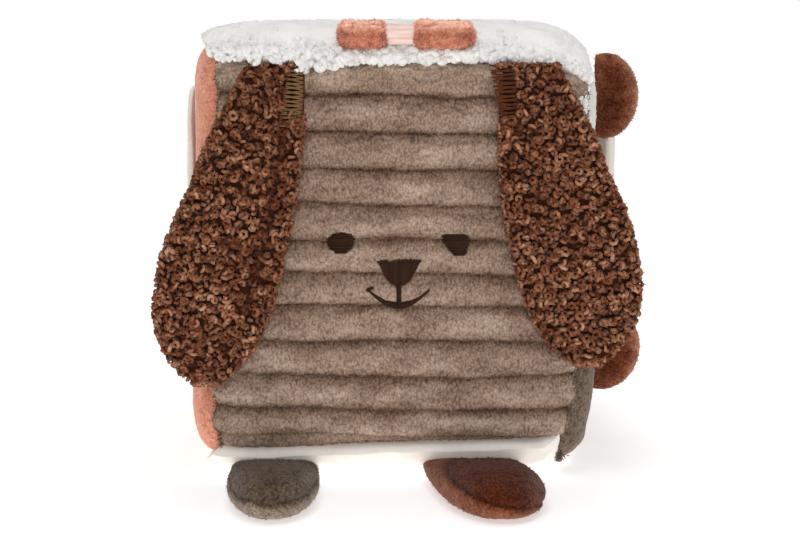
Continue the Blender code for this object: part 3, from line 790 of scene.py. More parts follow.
class SOFTBLOCK_OT_fleece(bpy.types.Operator):
    """Sew the curly fleece of the top, whose locks hang over the face's seam"""
    bl_idname = "softblock.fleece"
    bl_label = "Fleece top"

    def execute(self, context):
        sizes = settings()[0]
        dice = random.Random(11)
        corners = [front_corners["tl"], front_corners["tr"], rear_corners["tl"], rear_corners["tr"]]
        item = panel("fleece_backing", corners, (200, 220), fleece_relief, "white_sherpa")
        belongs(item, ["top_panel"])
        wrap = [(1.0, -1.0, 0.34), (1.0, -0.88, 0.4), (1.0, -1.0, 0.93), (1.0, -0.6, 0.97)]
        item = panel("fleece_wrap", wrap, (60, 90), wrap_relief, "white_sherpa")
        set_shade(item, 0.36)
        belongs(item)
        kinds = curl_kinds(sizes.wool_radius, sizes.wool_thread, dice, 8, (0.5, 0.9), 6, 6)
        spots = []
        for row in range(34):
            for column in range(30):
                spots.append((2 * (column + dice.uniform(0, 1)) / 30 - 1, 2 * (row + dice.uniform(0, 1)) / 34 - 1,
                              dice.uniform(-1.9, -1.0), dice.uniform(0.7, 1.1)))
        for number in range(560):
            spots.append((dice.uniform(-1, 1), -0.998 + abs(dice.gauss(0, 0.035)),
                          dice.uniform(-1.3, -0.4), dice.uniform(0.7, 1.25)))
        spots = np.array(spots)
        inverse = uneased(spots[:, :2])
        directions = between(corners, inverse[:, 0], inverse[:, 1])
        over = [(dice.uniform(-0.98, 0.98), 0.995 - abs(dice.gauss(0, 0.012))) for number in range(150)]
        over += [(dice.gauss(-0.47, 0.1), 0.995 - abs(dice.gauss(0, 0.03))) for number in range(50)]
        over += [(dice.uniform(-0.97, -0.4), 0.99 - abs(dice.gauss(0, 0.035))) for number in range(110)]
        over = uneased(np.array(over))
        edge = between([front_corners[key] for key in ("bl", "br", "tl", "tr")], over[:, 0], over[:, 1])
        directions = np.vstack((directions, edge))
        rises = [dice.uniform(-0.9, 0.1) + (1.8 if number >= 200 else 0) for number in range(len(edge))]
        spots = np.vstack((spots, [(0, -1, rise, dice.uniform(0.6, 1.05)) for rise in rises]))
        wisp = [(0.95 + dice.gauss(0, 0.03), -1, 0.9 - 0.26 * dice.random() ** 1.3) for number in range(26)]
        directions = np.vstack((directions, wisp))
        spots = np.vstack((spots, [(1, -1, dice.uniform(-2.2, -1.4), dice.uniform(0.7, 1.0)) for spot in wisp]))
        points = skin(directions, 2.0 * mm + spots[:, 2] * mm)
        normals = skin_normals(directions)
        places, shades = [], []
        for point, normal, size in zip(points, normals, spots[:, 3]):
            wild = stray(dice)
            heading = Vector(normal) * 0.8 + wild * 0.55
            places.append(one_of(kinds, dice, point, heading, size))
            shades.append(dice.uniform(0.45, 0.55))
        locks = gather("fleece_locks", kinds, places, "white_sherpa", shades)
        belongs(locks)
        belongs(brush(locks, "fleece_fuzz", "white_sherpa", 2000, 1.1 * mm, 34))
        return {"FINISHED"}


class SOFTBLOCK_OT_seam_pile(bpy.types.Operator):
    """Let tufts of pile stand out of the seams round the face"""
    bl_idname = "softblock.seam_pile"
    bl_label = "Pile in the seams"

    def execute(self, context):
        dice = random.Random(7)
        kinds = tuft_kinds(dice, 6, 1.3 * mm)
        front_, rear = front_corners, rear_corners
        rows = (("front_seam_pile", "ribbed_plush", (front_["bl"], front_["br"], front_["tl"], front_["tr"]), 1500),
                ("left_seam_pile", "coral_velboa", (rear["bl"], front_["bl"], rear["tl"], front_["tl"]), 420),
                ("right_seam_pile", "taupe_velboa", (tail_corner, rear["br"], front_["tr"], rear["tr"]), 420))
        for name, key, corners, count in rows:
            spots = []
            for number in range(count):
                inset = 1 - abs(dice.gauss(0, 0.01))
                if name == "front_seam_pile":
                    spot = (dice.choice((-1, 1)) * inset, dice.uniform(-1, 1)) if dice.random() < 0.7 \
                        else (dice.uniform(-1, 1), -inset + 0.012)
                else:
                    spot = (inset if name == "left_seam_pile" else -inset, dice.uniform(-1, 1))
                spots.append(spot)
            if name == "right_seam_pile":
                spots[:150] = [(abs(dice.gauss(0, 0.07)) - 1, abs(dice.gauss(0, 0.03)) - 1) for spot in spots[:150]]
            spots = uneased(np.array(spots))
            directions = between(corners, spots[:, 0], spots[:, 1])
            flat = skin(directions, 0)
            crown = rib_phase(flat)[1] if name == "front_seam_pile" else np.full(count, 0.2)
            rise = (crown - 0.6) * 1.3 * mm
            if name == "right_seam_pile":
                rise[:150] = 1.0 * mm
            points = skin(directions, rise)
            normals = skin_normals(directions)
            places, shades = [], []
            for point, normal, spot in zip(points, normals, spots):
                wild = stray(dice)
                heading = Vector(normal) + wild * 0.5
                size = dice.uniform(0.5, 1) * (0.45 if name == "front_seam_pile" and abs(spot[0]) < 0.9 else 1)
                places.append(one_of(kinds, dice, point, heading, size))
                shades.append(dice.uniform(0.4, 0.75))
            fringe = gather(name, kinds, places, key, shades)
            belongs(fringe)
        return {"FINISHED"}


# ---- Pads that hang by one sewn edge


class Pad:
    """A flat stuffed piece: where its sewn edge is, which way it runs, and its tables of shares."""

    def __init__(self, root, axes, size, shares):
        self.root = np.array(root, float)
        self.ahead, self.across, self.outward = (np.array(axis, float) for axis in axes)
        self.size, self.shares = size, shares

    def base(self, s, place, inset=0.0):
        """Points of the pad's middle plane, with its sides drawn in by inset."""
        half = self.size["width"] / 2 * along(self.shares["width"], place) - inset
        side = self.size["lean"] * along(self.shares["lean"], place) + half * np.sin(s * math.pi / 2)
        raised = self.size["standoff"] * along(self.shares["standoff"], place)
        run = self.size["length"] * place - inset * np.clip(place * 4 - 3, 0, 1)
        return (self.root + np.outer(run, self.ahead) + np.outer(side, self.across)
                + np.outer(raised, self.outward))

    def crown(self, s, place):
        """How far the pad is filled: 0 at its rim and 1 at its middle."""
        rim = 1 - np.abs(np.sin(s * math.pi / 2)) ** self.size["crown_power"]
        return along(self.shares["rise"], place) * rim


def ends_eased(t):
    """Places from 0 to 1 for values from -1 to 1, drawn towards both ends."""
    return (1 - np.cos((t + 1) * math.pi / 2)) / 2


def pad_object(name, pad, cells, upper, under, key, inset=0.0):
    """A closed pad between two faces, whose heights over its middle plane are functions of s and place."""
    def top(s, t):
        place = ends_eased(t)
        return pad.base(s, place, inset) + np.outer(upper(s, place), pad.outward)

    def low(s, t):
        place = ends_eased(t)
        return pad.base(s, place, inset) + np.outer(under(s, place), pad.outward)

    return shell(name, cells, cells, top, low, key)


def inflate(item, voxel, pressure, cap):
    """Puff a pad up by a cloth simulation, cap how far a point may move, and smooth it by one subdivision."""
    remesh = item.modifiers.new("remesh", "REMESH")
    remesh.mode = "VOXEL"
    remesh.voxel_size = voxel
    apply_modifiers(item)
    start = coordinates(item.data)
    cloth = item.modifiers.new("cloth", "CLOTH")
    cloth.settings.use_pressure = True
    cloth.settings.uniform_pressure_force = pressure
    cloth.settings.effector_weights.gravity = 0
    cloth.point_cache.frame_start = 1
    cloth.point_cache.frame_end = 20
    for number in range(1, 21):
        bpy.context.scene.frame_set(number)
    found = item.evaluated_get(bpy.context.evaluated_depsgraph_get()).to_mesh()
    moved = coordinates(found) - start
    item.to_mesh_clear()
    far = np.linalg.norm(moved, axis=1)
    moved *= np.minimum(1, cap / np.maximum(far, 1e-9))[:, None]
    place_points(item.data, start + moved)
    item.modifiers.remove(cloth)
    bpy.context.scene.frame_set(1)
    finer = item.modifiers.new("finer", "SUBSURF")
    finer.levels = finer.render_levels = 1
    apply_modifiers(item)
    item.data.shade_smooth()
    set_shade(item, 0.5)


def apply_modifiers(item):
    """Write what an object's modifiers make into its own mesh."""
    bpy.context.view_layer.update()
    found = bpy.data.meshes.new_from_object(item.evaluated_get(bpy.context.evaluated_depsgraph_get()))
    item.modifiers.clear()
    old = item.data
    item.data = found
    bpy.data.meshes.remove(old)


def ear_pads():
    """Both ears as pads, with the sides of their names."""
    sizes = settings()[0]
    shares = {"width": ear_width_shares, "lean": ear_lean_shares, "rise": ear_rise_shares,
              "cover": ear_pile_shares, "standoff": ear_standoff_shares}
    rows = (("left", -0.577, 101.0, 40.0, -23.0), ("right", 0.621, 95.5, 40.0, 19.5))
    for side, share, run, width, lean in rows:
        shares = dict(shares, width=ear_width_shares if side == "left" else right_ear_width_shares)
        joint = joints[side + "_ear_flop"]
        root = (sizes.half_width * share, joint["pos_m"][1], joint["pos_m"][2])
        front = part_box(side + "_ear_lining")[0].y
        size = {"length": run * mm, "width": width * mm, "lean": lean * mm, "crown_power": 4,
                "standoff": root[1] - front - lining_thickness}
        yield side, Pad(root, (-up, right, -back), size, shares)


class SOFTBLOCK_OT_ears(bpy.types.Operator):
    """Sew the two curly ears and their linings"""
    bl_idname = "softblock.ears"
    bl_label = "Ears"

    def execute(self, context):
        sizes = settings()[0]
        dice = random.Random(5)
        kinds = curl_kinds(sizes.curl_radius, sizes.curl_thread, dice, 14, (0.8, 1.5), 8, 5)
        pile = 4.5 * mm
        swell = 3.0 * mm
        inset = 2.2 * mm
        for side, pad in ear_pads():
            def cover(place):
                return along(pad.shares["cover"], place)

            def core_front(s, place):
                return 0.2 * mm + swell * pad.crown(s, place) + (pile - 2.2 * mm) * cover(place)

            def core_back(s, place):
                return np.full_like(place, 0.15 * mm)

            def lining_front(s, place):
                return np.full_like(place, -0.15 * mm)

            def lining_back(s, place):
                return -0.15 * mm - lining_thickness * cover(place)

            # The core between the curls is a dark cloth that paints the shade in the gaps.
            core = pad_object(side + "_ear_core", pad, (40, 90), core_front, core_back, "curl_backing", inset)
            hinged(core, [side + "_ear_pile"])
            rear = pad_object(side + "_ear_backing", pad, (40, 90), lining_front, lining_back, "brown_velboa",
                              inset / 2)
            hinged(rear, [side + "_ear_lining"])
            places, shades = [], []
            seam_side, bare_from, bare_to = (1, 0.5, 0.16) if side == "left" else (-1, 0.58, 0.19)
            spacing = 1.9 * mm
            rows = int(pad.size["length"] / spacing)
            for row in range(rows):
                place = (row + 0.5) / rows
                width = pad.size["width"] * along(pad.shares["width"], np.array([place]))[0]
                columns = max(int(width / spacing), 2)
                for column in range(columns):
                    spot_place = min(max(place + dice.uniform(-0.6, 0.6) / rows, 0.02), 0.995)
                    ratio = 2 * (column + 0.5 + dice.uniform(-0.4, 0.4)) / columns - 1
                    if ratio * seam_side > bare_from and place < bare_to:
                        continue
                    s = uneased(np.array([ratio]))
                    spot = np.array([spot_place])
                    crease = math.exp(-((ratio - 0.62) / 0.1) ** 2) * (side == "left") * (place < 0.75)
                    depth = (dice.uniform(-1.5, 0.1) - 1.1 * crease) * mm
                    lift = core_front(s, spot)[0] + (1.5 * mm + depth) * cover(spot)[0]
                    point = pad.base(s, spot, 1.5 * mm)[0] + pad.outward * lift
                    lean_out = Vector(pad.across) * ratio ** 3 * 1.2 + Vector(pad.outward)
                    wild = stray(dice)
                    size = dice.uniform(0.75, 1.15) * (0.8 + 0.2 * cover(spot)[0])
                    places.append(one_of(kinds, dice, point, lean_out + wild * 0.9, size))
                    # Painted shade: deeper curls and curls in the left ear's crease are darker.
                    clump = grain_at(np.array([point]), 7 * mm, 26)[0] * 0.08
                    shades.append(dice.uniform(0.28, 0.6) + depth / mm * 0.16 - 0.25 * crease + clump)
            for edge in (-1, 1):
                for number in range(90):
                    spot = np.array([min(0.03 + 0.97 * (number + dice.uniform(0, 1)) / 90, 0.995)])
                    if edge == seam_side and spot[0] < bare_to:
                        continue
                    s = np.array([edge * 1.0])
                    lift = dice.uniform(0, 1) * core_front(s, spot)[0]
                    point = pad.base(s, spot, 1.2 * mm)[0] + pad.outward * lift
                    wild = stray(dice)
                    heading = Vector(pad.across) * edge + wild * 0.7
                    size = dice.uniform(0.7, 1.05) * (0.65 + 0.35 * cover(spot)[0])
                    places.append(one_of(kinds, dice, point, heading, size))
                    shades.append(dice.uniform(0.3, 0.6))
            for number in range(26):
                ratio = dice.uniform(-1, 1)
                s, spot = np.array([ratio]), np.array([0.005])
                point = pad.base(s, spot, 0.8 * mm)[0] + pad.outward * dice.uniform(0.8, 3.2) * mm
                heading = stray(dice)
                places.append(one_of(kinds, dice, point, heading, 0.8))
                shades.append(dice.uniform(0.3, 0.6))
            for number in range(60):
                s = np.array([dice.uniform(-1, 1)])
                spot = np.array([0.995])
                point = pad.base(s, spot, 1.2 * mm)[0] + pad.outward * dice.uniform(0, 2.5) * mm
                wild = stray(dice)
                heading = Vector(pad.ahead) + wild * 0.7
                places.append(one_of(kinds, dice, point, heading, 0.9))
                shades.append(dice.uniform(0.3, 0.6))
            # Painted light on the outer side of each curl and painted shade on its inner side.
            curls = gather(side + "_ear_curls", kinds, places, "brown_curls", shades, pad.outward, 0.2)
            hinged(curls)
            fuzz = brush(curls, side + "_ear_fuzz", "brown_curls", 2600, 0.9 * mm, 35)
            hinged(fuzz)
            threads = bmesh.new()
            count = int(pad.size["length"] * bare_to * 1.15 / (0.62 * mm))
            for number in range(count):
                place = 0.01 + bare_to * 1.15 * number / count
                tilt = 0.012 if number % 2 else -0.004
                share = np.linspace(0, 1, 6)
                far = 1.02 if side == "left" else 1.02 + 0.3 * max(1 - place / bare_to, 0)
                ratio = seam_side * (bare_from - 0.04 + (far - bare_from) * share)
                spots = place + tilt * share + dice.uniform(-0.002, 0.002)
                s = uneased(ratio)
                past = (np.abs(ratio) - 1).clip(0) * seam_side * pad.size["width"] / 2 * 0.6
                lifts = core_front(s, spots) + (0.25 + 0.35 * np.sin(share * math.pi)) * mm
                path = pad.base(s, spots, 1.4 * mm) + np.outer(lifts, pad.outward) + np.outer(past, pad.across)
                take_in(threads, as_mesh("thread", tube(path, [0.29 * mm] * 6, 5)))
            yarn = "overlock_thread" if side == "left" else "brown_curls"
            stitched = add_object(side + "_ear_overlock", threads, yarn)
            set_shade(stitched, 0.5 if side == "left" else 0.3)
            hinged(stitched)
        return {"FINISHED"}


class SOFTBLOCK_OT_feet(bpy.types.Operator):
    """Sew and stuff the two feet"""
    bl_idname = "softblock.feet"
    bl_label = "Feet"

    def execute(self, context):
        sizes = settings()[0]
        shares = {"width": foot_width_shares, "lean": ear_lean_shares, "rise": foot_rise_shares,
                  "standoff": no_shares}
        rows = (("left", -0.608, 53.0, 28.5, 1.0, "taupe_velboa", 0.0),
                ("right", 0.358, 55.0, 33.5, 6.5, "brown_velboa", -0.22))
        for side, share, run, width, lean, key, slope in rows:
            joint = joints[side + "_foot_flap"]
            root = (sizes.half_width * share, joint["pos_m"][1], joint["pos_m"][2])
            size = {"length": run * mm, "width": width * mm, "lean": lean * mm, "standoff": 0, "crown_power": 4}
            pad = Pad(root, (-back, right, up), size, shares)
            depth = root[2] - rest_clearance

            def upper(s, place):
                return 0.9 * mm + 7.2 * mm * pad.crown(s, place)

            def under(s, place):
                return -0.9 * mm - (depth - 1.1 * mm) * pad.crown(s, place) ** 0.4

            item = pad_object(side + "_foot", pad, (24, 32), upper, under, key, 0.4 * mm)
            inflate(item, 1.3 * mm, 3, 1.2 * mm)
            points = coordinates(item.data)
            height = points[:, 2] - root[2]
            middle = np.array((root[0] + lean * mm * 0.7, root[1] - run * mm * 0.55, 0))
            away = points - middle
            away[:, 2] = 0
            away /= np.maximum(np.linalg.norm(away, axis=1), 1e-9)[:, None]
            seam = 1.0 * mm + (points[:, 0] - middle[0]) * slope + grain_at(points, 6 * mm, 9) * 0.6 * mm
            groove = bell(height - seam, 0.6 * mm)
            bulge = bell(height - seam + 1.6 * mm, 1.2 * mm)
            points += away * ((0.5 * bulge - 0.7 * groove) * mm)[:, None]
            points += np.outer(grain_at(points, 1.1 * mm, 10) * 0.12 * mm, up)
            points[:, 2] = np.maximum(points[:, 2], rest_clearance)
            place_points(item.data, points)
            # Painted light on the rim under the seam, and painted shade in the seam's groove; mottled is the pile's
            # own tone.
            painted_sole_light = np.clip((seam - height) / (1.2 * mm) + 0.5, 0, 1)
            mottled = grain_at(points, 3 * mm, 16) * 0.08
            set_shade(item, np.clip(0.36 + 0.34 * painted_sole_light - 0.3 * groove + mottled, 0.05, 1))
            nodes = [side + "_foot" + part for part in ("_upper", "_sole", "_stuffing")]
            hinged(item, nodes)
            tufts = brush(item, side + "_foot_pile", key, 1400, 0.8 * mm, 32)
            hinged(tufts)
        return {"FINISHED"}


class SOFTBLOCK_OT_paws(bpy.types.Operator):
    """Sew and stuff the two half-round paws of the right side"""
    bl_idname = "softblock.paws"
    bl_label = "Side paws"

    def execute(self, context):
        shares = {"width": paw_width_shares, "lean": no_shares, "rise": paw_rise_shares, "standoff": no_shares}
        for name, run, width in (("upper_paw", 15.0, 29.4), ("lower_paw", 17.2, 30.5)):
            joint = joints[name + "_bend"]
            root = np.array(joint["pos_m"])
            size = {"length": run * mm, "width": width * mm, "lean": 0, "standoff": 0, "crown_power": 4}
            pad = Pad(root, (right, up, -back), size, shares)

            def front_face(s, place):
                return 0.7 * mm + 4.3 * mm * pad.crown(s, place)

            def rear_face(s, place):
                return -0.7 * mm - 4.3 * mm * pad.crown(s, place)

            item = pad_object(name, pad, (24, 20), front_face, rear_face, "brown_velboa", 0.4 * mm)
            inflate(item, 1.2 * mm, 3, 0.9 * mm)
            points = coordinates(item.data)
            fullness = np.abs(points[:, 1] - root[1]) / (5 * mm)
            points += np.outer(grain_at(points, 1.1 * mm, 17) * 0.12 * mm, right)
            place_points(item.data, points)
            # Painted light and shade: each paw's rim and outer part get a painted sheen, and its lower part painted
            # shade; the grain is the pile's own tone.
            low = np.clip((root[2] - points[:, 2]) / (width * mm) + 0.5, 0, 1)
            tip = np.clip((points[:, 0] - root[0]) / (run * mm) - 0.3, 0, 1)
            rim = np.clip(1.2 - fullness, 0, 1) * 0.45 + tip * 0.5
            set_shade(item, np.clip(0.36 + rim - 0.1 * low + grain_at(points, 3 * mm, 18) * 0.12, 0.05, 1.1))
            nodes = [name + part for part in ("_front", "_back", "_stuffing")]
            hinged(item, nodes)
            tufts = brush(item, name + "_pile", "brown_velboa", 900, 0.9 * mm, 31)
            hinged(tufts)
        return {"FINISHED"}


class SOFTBLOCK_OT_pages(bpy.types.Operator):
    """Sew the padded page of each side"""
    bl_idname = "softblock.pages"
    bl_label = "Pages"

    def execute(self, context):
        shares = {"width": page_width_shares, "lean": no_shares, "rise": page_rise_shares,
                  "standoff": page_standoff_shares}
        rows = (("left", -right, 3.7 * mm, 1.8 * mm), ("right", right, 8.2 * mm, 4.2 * mm))
        for side, outward, standoff, plump in rows:
            joint = joints[side + "_page_turn"]
            root = np.array(joint["pos_m"])
            size = {"length": 80.0 * mm, "width": 94.0 * mm, "lean": 0, "standoff": standoff, "crown_power": 8}
            pad = Pad(root, (-back, up, outward), size, shares)

            def outer_face(s, place):
                return 0.6 * mm + plump * pad.crown(s, place)

            def inner_face(s, place):
                return -0.6 * mm - (plump - 1.8 * mm) * pad.crown(s, place)

            item = pad_object(side + "_page", pad, (60, 56), outer_face, inner_face, "cream_cotton", 0.3 * mm)
            points = coordinates(item.data)
            points += np.outer(grain_at(points, (9 * mm, 12 * mm, 12 * mm), 8) * 0.25 * mm, outward)
            place_points(item.data, points)
            nodes = [side + "_page" + part for part in ("_outer", "_inner", "_wadding")]
            hinged(item, nodes)
        return {"FINISHED"}


# ---- Bow and face


class SOFTBLOCK_OT_bow(bpy.types.Operator):
    """Sew the plush bow and its satin band on the top front edge"""
    bl_idname = "softblock.bow"
    bl_label = "Bow"

    def execute(self, context):
        low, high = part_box("bow_band")
        seat = (np.array(low) + np.array(high)) / 2
        outward = skin_normals(np.array([(0, -1, 1)]))[0]
        climb = np.cross(outward, right)

        def rounded(directions, power):
            return (np.abs(directions) ** power).sum(1) ** (-1 / power)

        def pillow(name, cuts, half, middle, side, key):
            mesh = bmesh.new()
            bmesh.ops.create_cube(mesh, size=2)
            bmesh.ops.subdivide_edges(mesh, edges=mesh.edges[:], cuts=cuts, use_grid_fill=True)
            flat = eased(np.array([vert.co for vert in mesh.verts]))
            local = flat * rounded(flat, 3.6 if side else 5)[:, None]
            if side:
                out = (local[:, 0] * side + 1) / 2
                grown = along(((0, 1.04), (0.3, 1), (0.6, 1), (1, 0.94)), out)
                crease = bell(local[:, 1] - 0.25 - 0.2 * out, 0.12) * np.clip(1.3 - out, 0, 1)
                local[:, 1] *= grown
                local[:, 2] *= grown * (1 - 0.4 * crease * (local[:, 2] > 0))
            else:
                local[:, 2] *= 1 + 0.07 * np.cos(local[:, 1] * 3.4 * math.pi + local[:, 0] * 0.8)
                local[:, 1] *= 1 - 0.12 * np.cos(local[:, 0] * math.pi / 2)
            points = (middle + np.outer(local[:, 0] * half[0], right) + np.outer(local[:, 1] * half[1], climb)
                      + np.outer(local[:, 2] * half[2], outward))
            if side:
                points += np.outer(grain_at(points, (4 * mm, 3 * mm, 3 * mm), 19) * 0.5 * mm, outward)
                points += np.outer(grain_at(points, 1.1 * mm, 20) * 0.14 * mm, outward)
            for vert, point in zip(mesh.verts, points):
                vert.co = point
            face_outward(mesh)
            item = add_object(name, mesh, key)
            if side:
                points = coordinates(item.data)
                # Painted light: each loop is lighter on top and darker at its lower front; mottled is the pile's own
                # tone.
                level = (points - middle) @ up / (half[1] + half[2])
                mottled = grain_at(points, 2.2 * mm, 21) * 0.16
                set_shade(item, np.clip(0.62 + 0.5 * np.clip(level * 3 - 0.6, -0.6, 1) + mottled, 0.1, 1.1))
            return item

        seat = seat - right * 1.5 * mm
        band = pillow("satin_band", 24, (4.8 * mm, 2.7 * mm, 3.0 * mm), seat, 0, "pink_satin")
        belongs(band, ["bow_band"])
        for name, side, away, half in (("bow_left", -1, 11.6, 7.8), ("bow_right", 1, 13.6, 9.8)):
            middle = seat + right * side * away * mm
            loop = pillow(name, 40, (half * mm, 4.3 * mm, 3.3 * mm), middle, side, "coral_velboa")
            belongs(loop, [name + "_loop"])
            belongs(brush(loop, name + "_pile", "coral_velboa", 1300, 1.0 * mm, 33))
        return {"FINISHED"}


def face_points(x, z, lift):
    """Points over the crests of the ribs at x and height z."""
    sizes = settings()[0]
    rise = (z - sizes.half_height + flat_depth) / sizes.half_height
    directions = np.stack((x / sizes.half_width, -np.ones_like(x), rise), 1)
    return skin(directions, sizes.rib_height + lift)


def stitches(name, rows, key, nodes, lift=0.0):
    """Satin stitches, each a bent thread from one place to another on the face."""
    sizes = settings()[0]
    whole = bmesh.new()
    for (x0, z0), (x1, z1) in rows:
        share = np.linspace(0, 1, 7)
        bowed = np.sin(share * math.pi) ** 0.5 * 0.45 * mm - 0.5 * mm + lift
        path = face_points(x0 + (x1 - x0) * share, z0 + (z1 - z0) * share, bowed)
        radii = [sizes.stitch * value for value in (0.6, 1, 1, 1, 1, 1, 0.6)]
        take_in(whole, as_mesh("thread", tube(path, radii, 6)))
    item = add_object(name, whole, key)
    ring = len(item.data.vertices) // len(rows)
    dice = random.Random(len(rows))
    set_shade(item, np.repeat([dice.uniform(0.2, 0.75) for row in rows], ring))
    belongs(item, nodes)


class SOFTBLOCK_OT_face(bpy.types.Operator):
    """Sew the eyes, the nose and the smile in dark thread"""
    bl_idname = "softblock.face"
    bl_label = "Sewn face"

    def execute(self, context):
        dice = random.Random(3)
        pitch = 0.42 * mm
        eyes = (("left_eye", -17.3 * mm, 77.0 * mm, left_eye_shares, 0.0),
                ("right_eye", 17.9 * mm, 76.2 * mm, right_eye_shares, 0.6 * mm))
        for name, x, z, shares, drift in eyes:
            rows = []
            count = int(6.2 * mm / pitch)
            for number in range(count + 1):
                rise = 2 * number / count - 1
                half = 4.1 * mm * along(shares, np.array([rise / 2 + 0.5]))[0]
                level, centre = z + rise * 3.1 * mm, x - rise * drift
                rows.append(((centre - half + dice.uniform(-0.3, 0.3) * mm, level),
                             (centre + half + dice.uniform(-0.3, 0.3) * mm, level + dice.uniform(-0.1, 0.1) * mm)))
            stitches(name + "_stitches", rows, "dark_thread", [name])
        rows = []
        top, tip, x = 72.0 * mm, 63.6 * mm, 0.3 * mm
        count = int(14.0 * mm / pitch)
        for number in range(count + 1):
            ratio = 2 * number / count - 1
            low = tip + (top - tip) * abs(ratio) ** 2.4 * 0.86
            rows.append(((x + ratio * 6.6 * mm, top - 0.5 * mm * abs(ratio) ** 6 + dice.uniform(-0.2, 0.2) * mm),
                         (x + ratio * 6.0 * mm, low + dice.uniform(-0.2, 0.2) * mm)))
        stitches("nose_stitches", rows, "dark_thread", ["nose"], 0.45 * mm)
        rows = []
        for number in range(15):
            level = tip + 0.3 * mm - 0.4 * mm * number
            rows.append(((x - 0.7 * mm, level), (x + 0.7 * mm, level - 0.25 * mm)))
        stitches("muzzle_stitches", rows, "dark_thread", ["muzzle_line"], 0.6 * mm)
        rows = []
        count = 52
        for number in range(count + 1):
            ratio = 2 * number / count - 1
            level = 57.6 * mm + 4.6 * mm * abs(ratio) ** 2.0
            lean, half = 0.5 * mm * ratio, (1.05 - 0.55 * ratio ** 2) * mm
            rows.append(((x + ratio * 8.9 * mm + lean * 0.6, level + half),
                         (x + ratio * 8.9 * mm - lean * 0.6, level - half)))
        for number in range(5):
            rows.append(((x - 9.1 * mm + 0.4 * mm * number, 61.8 * mm + 0.3 * mm * number),
                         (x - 9.9 * mm + 0.4 * mm * number, 62.7 * mm + 0.2 * mm * number)))
        stitches("smile_stitches", rows, "dark_thread", ["smile_line"])
        return {"FINISHED"}


# ---- Inside


class SOFTBLOCK_OT_inside(bpy.types.Operator):
    """Give the foam halves and the rattle their finishes"""
    bl_idname = "softblock.inside"
    bl_label = "Foam and rattle"

    def execute(self, context):
        for name in ("stuffing_lower", "stuffing_upper"):
            mesh = bmesh.new()
            mesh.from_mesh(frame["nodes"][name].data)
            bmesh.ops.remove_doubles(mesh, verts=mesh.verts, dist=0.001 * mm)
            face_outward(mesh)
            item = add_object(name.replace("stuffing", "foam"), mesh, "foam")
            belongs(item, [name])
        hard = {"rattle_shell_lower": ("rattle_plastic", "#e2e2de", 0.0, 0.35),
                "rattle_shell_upper": ("rattle_plastic", "#e2e2de", 0.0, 0.35),
                "rattle_ball": ("rattle_metal", "#b5b5b8", 1.0, 0.3)}
        for name, (key, code, metal, rough) in hard.items():
            finish, tree = new_material(name + "_" + key)
            scuffs = add_node(tree, "TexNoise", Vector=object_place(tree), Scale=1 / (2 * mm), Detail=4)
            worn = add_node(tree, "MapRange", Value=scuffs.outputs["Fac"], To_Min=rough - 0.08, To_Max=rough + 0.12)
            shader = add_node(tree, "BsdfPrincipled", Base_Color=shade(linear(code), 1), Metallic=metal,
                              Roughness=worn.outputs["Result"])
            add_node(tree, "OutputMaterial", Surface=shader.outputs["BSDF"])
            frame["nodes"][name].data.materials[0] = finish
        return {"FINISHED"}


# ---- Stage


def straight_rays(tree):
    """1 for the rays of the camera, of gloss and of transmission, and 0 for those that only light."""
    seen = add_node(tree, "LightPath").outputs
    rays = add_node(tree, "Math", {"operation": "MAXIMUM"}, i0=seen["Is Camera Ray"], i1=seen["Is Glossy Ray"])
    return add_node(tree, "Math", {"operation": "MAXIMUM"}, i0=rays.outputs["Value"],
                    i1=seen["Is Transmission Ray"]).outputs["Value"]


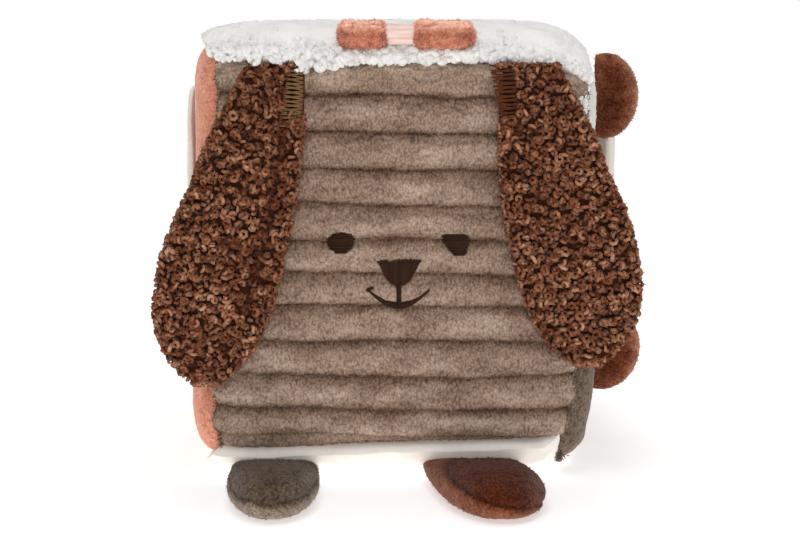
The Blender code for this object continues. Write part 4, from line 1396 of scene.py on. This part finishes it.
class SOFTBLOCK_OT_stage(bpy.types.Operator):
    """Lay the pale floor, and set the lamps, the world and the camera"""
    bl_idname = "softblock.stage"
    bl_label = "Stage"

    def execute(self, context):
        scene = context.scene
        mesh = bmesh.new()
        bmesh.ops.create_circle(mesh, cap_ends=True, segments=64, radius=3)
        floor = bpy.data.objects.new("floor", as_mesh("floor", mesh))
        scene.collection.objects.link(floor)
        finish, tree = new_material("pale_floor")
        every = straight_rays(tree)
        away = add_node(tree, "VectorMath", {"operation": "LENGTH"}, i0=object_place(tree)).outputs["Value"]
        far = add_node(tree, "MapRange", Value=away, From_Min=0.25, From_Max=0.6)
        glow = add_node(tree, "MapRange", Value=every, To_Min=0.95, To_Max=0.5)
        paper = add_node(tree, "BsdfDiffuse", Color=(0.8, 0.8, 0.8, 1))
        lit = add_node(tree, "Emission", Color=(1, 1, 1, 1), Strength=glow.outputs["Result"])
        near = add_node(tree, "AddShader", i0=paper.outputs["BSDF"], i1=lit.outputs["Emission"])
        white = add_node(tree, "Emission", Color=(1, 1, 1, 1), Strength=1.0)
        both = add_node(tree, "MixShader", i0=far.outputs["Result"], i1=near.outputs["Shader"],
                        i2=white.outputs["Emission"])
        add_node(tree, "OutputMaterial", Surface=both.outputs["Shader"])
        floor.data.materials.append(finish)
        world = bpy.data.worlds.new("studio")
        scene.world = world
        world.use_nodes = True
        tree = world.node_tree
        tree.nodes.clear()
        every = straight_rays(tree)
        level = add_node(tree, "MapRange", Value=every, To_Min=0.28, To_Max=1.0)
        sky = add_node(tree, "Background", Color=(1, 1, 1, 1), Strength=level.outputs["Result"])
        add_node(tree, "OutputWorld", Surface=sky.outputs["Background"])
        lamps = (("key", (-0.12, -0.62, 1.05), 1.0, 4.6), ("overhead", (0.1, 0.3, 1.2), 1.0, 4.5),
                 ("front", (0.1, -1.3, 0.12), 0.7, 3.0))
        for name, place, size, power in lamps:
            data = bpy.data.lights.new(name, "AREA")
            data.shape = "DISK"
            data.size = size
            data.energy = power
            lamp = bpy.data.objects.new(name, data)
            scene.collection.objects.link(lamp)
            lamp.location = place
            lamp.rotation_euler = (Vector((0, 0, 0.06)) - Vector(place)).to_track_quat("-Z", "Y").to_euler()
        azimuth, elevation, distance = math.radians(-1.8), math.radians(8.69), 0.6
        ahead = Vector((-math.sin(azimuth) * math.cos(elevation), math.cos(azimuth) * math.cos(elevation),
                        -math.sin(elevation)))
        side = Vector((math.cos(azimuth), math.sin(azimuth), 0))
        climb = side.cross(ahead)
        target = Vector((1 * mm, 0, 70 * mm)) + side * 1.926 * mm - climb * 14.56 * mm
        data = bpy.data.cameras.new("camera")
        picture_width, focal_pixels = 800, 1688.4
        data.sensor_width = 36
        data.lens = data.sensor_width * focal_pixels / picture_width
        camera = bpy.data.objects.new("camera", data)
        scene.collection.objects.link(camera)
        camera.location = target - ahead * distance
        camera.rotation_mode = "QUATERNION"
        camera.rotation_quaternion = ahead.to_track_quat("-Z", "Y")
        scene.camera = camera
        scene.view_settings.view_transform = "Standard"
        return {"FINISHED"}


operators = (SOFTBLOCK_OT_front, SOFTBLOCK_OT_sides, SOFTBLOCK_OT_fleece, SOFTBLOCK_OT_seam_pile,
             SOFTBLOCK_OT_ears, SOFTBLOCK_OT_bow, SOFTBLOCK_OT_face, SOFTBLOCK_OT_feet, SOFTBLOCK_OT_paws,
             SOFTBLOCK_OT_pages, SOFTBLOCK_OT_inside, SOFTBLOCK_OT_stage)


class SOFTBLOCK_PT_panel(bpy.types.Panel):
    """Sizes, colours and the steps that sew the block"""
    bl_idname = "SOFTBLOCK_PT_panel"
    bl_label = "Soft fabric block"
    bl_space_type = "VIEW_3D"
    bl_region_type = "UI"
    bl_category = "Soft Block"

    def draw(self, context):
        for group in settings():
            box = self.layout.box()
            for name in group.__annotations__:
                box.prop(group, name)
        for kind in operators:
            self.layout.operator(kind.bl_idname)


classes = (BlockSizes, BlockColours, *operators, SOFTBLOCK_PT_panel)


def register():
    """Register the classes and hang the settings on the scene."""
    for kind in classes:
        bpy.utils.register_class(kind)
    bpy.types.Scene.block_sizes = bpy.props.PointerProperty(type=BlockSizes)
    bpy.types.Scene.block_colours = bpy.props.PointerProperty(type=BlockColours)


def unregister():
    """Take the settings and the classes away again."""
    del bpy.types.Scene.block_colours
    del bpy.types.Scene.block_sizes
    for kind in reversed(classes):
        bpy.utils.unregister_class(kind)


def main():
    """Sew every piece."""
    register()
    for kind in operators:
        group, step = kind.bl_idname.split(".")
        getattr(getattr(bpy.ops, group), step)()


if __name__ == "__main__":
    main()
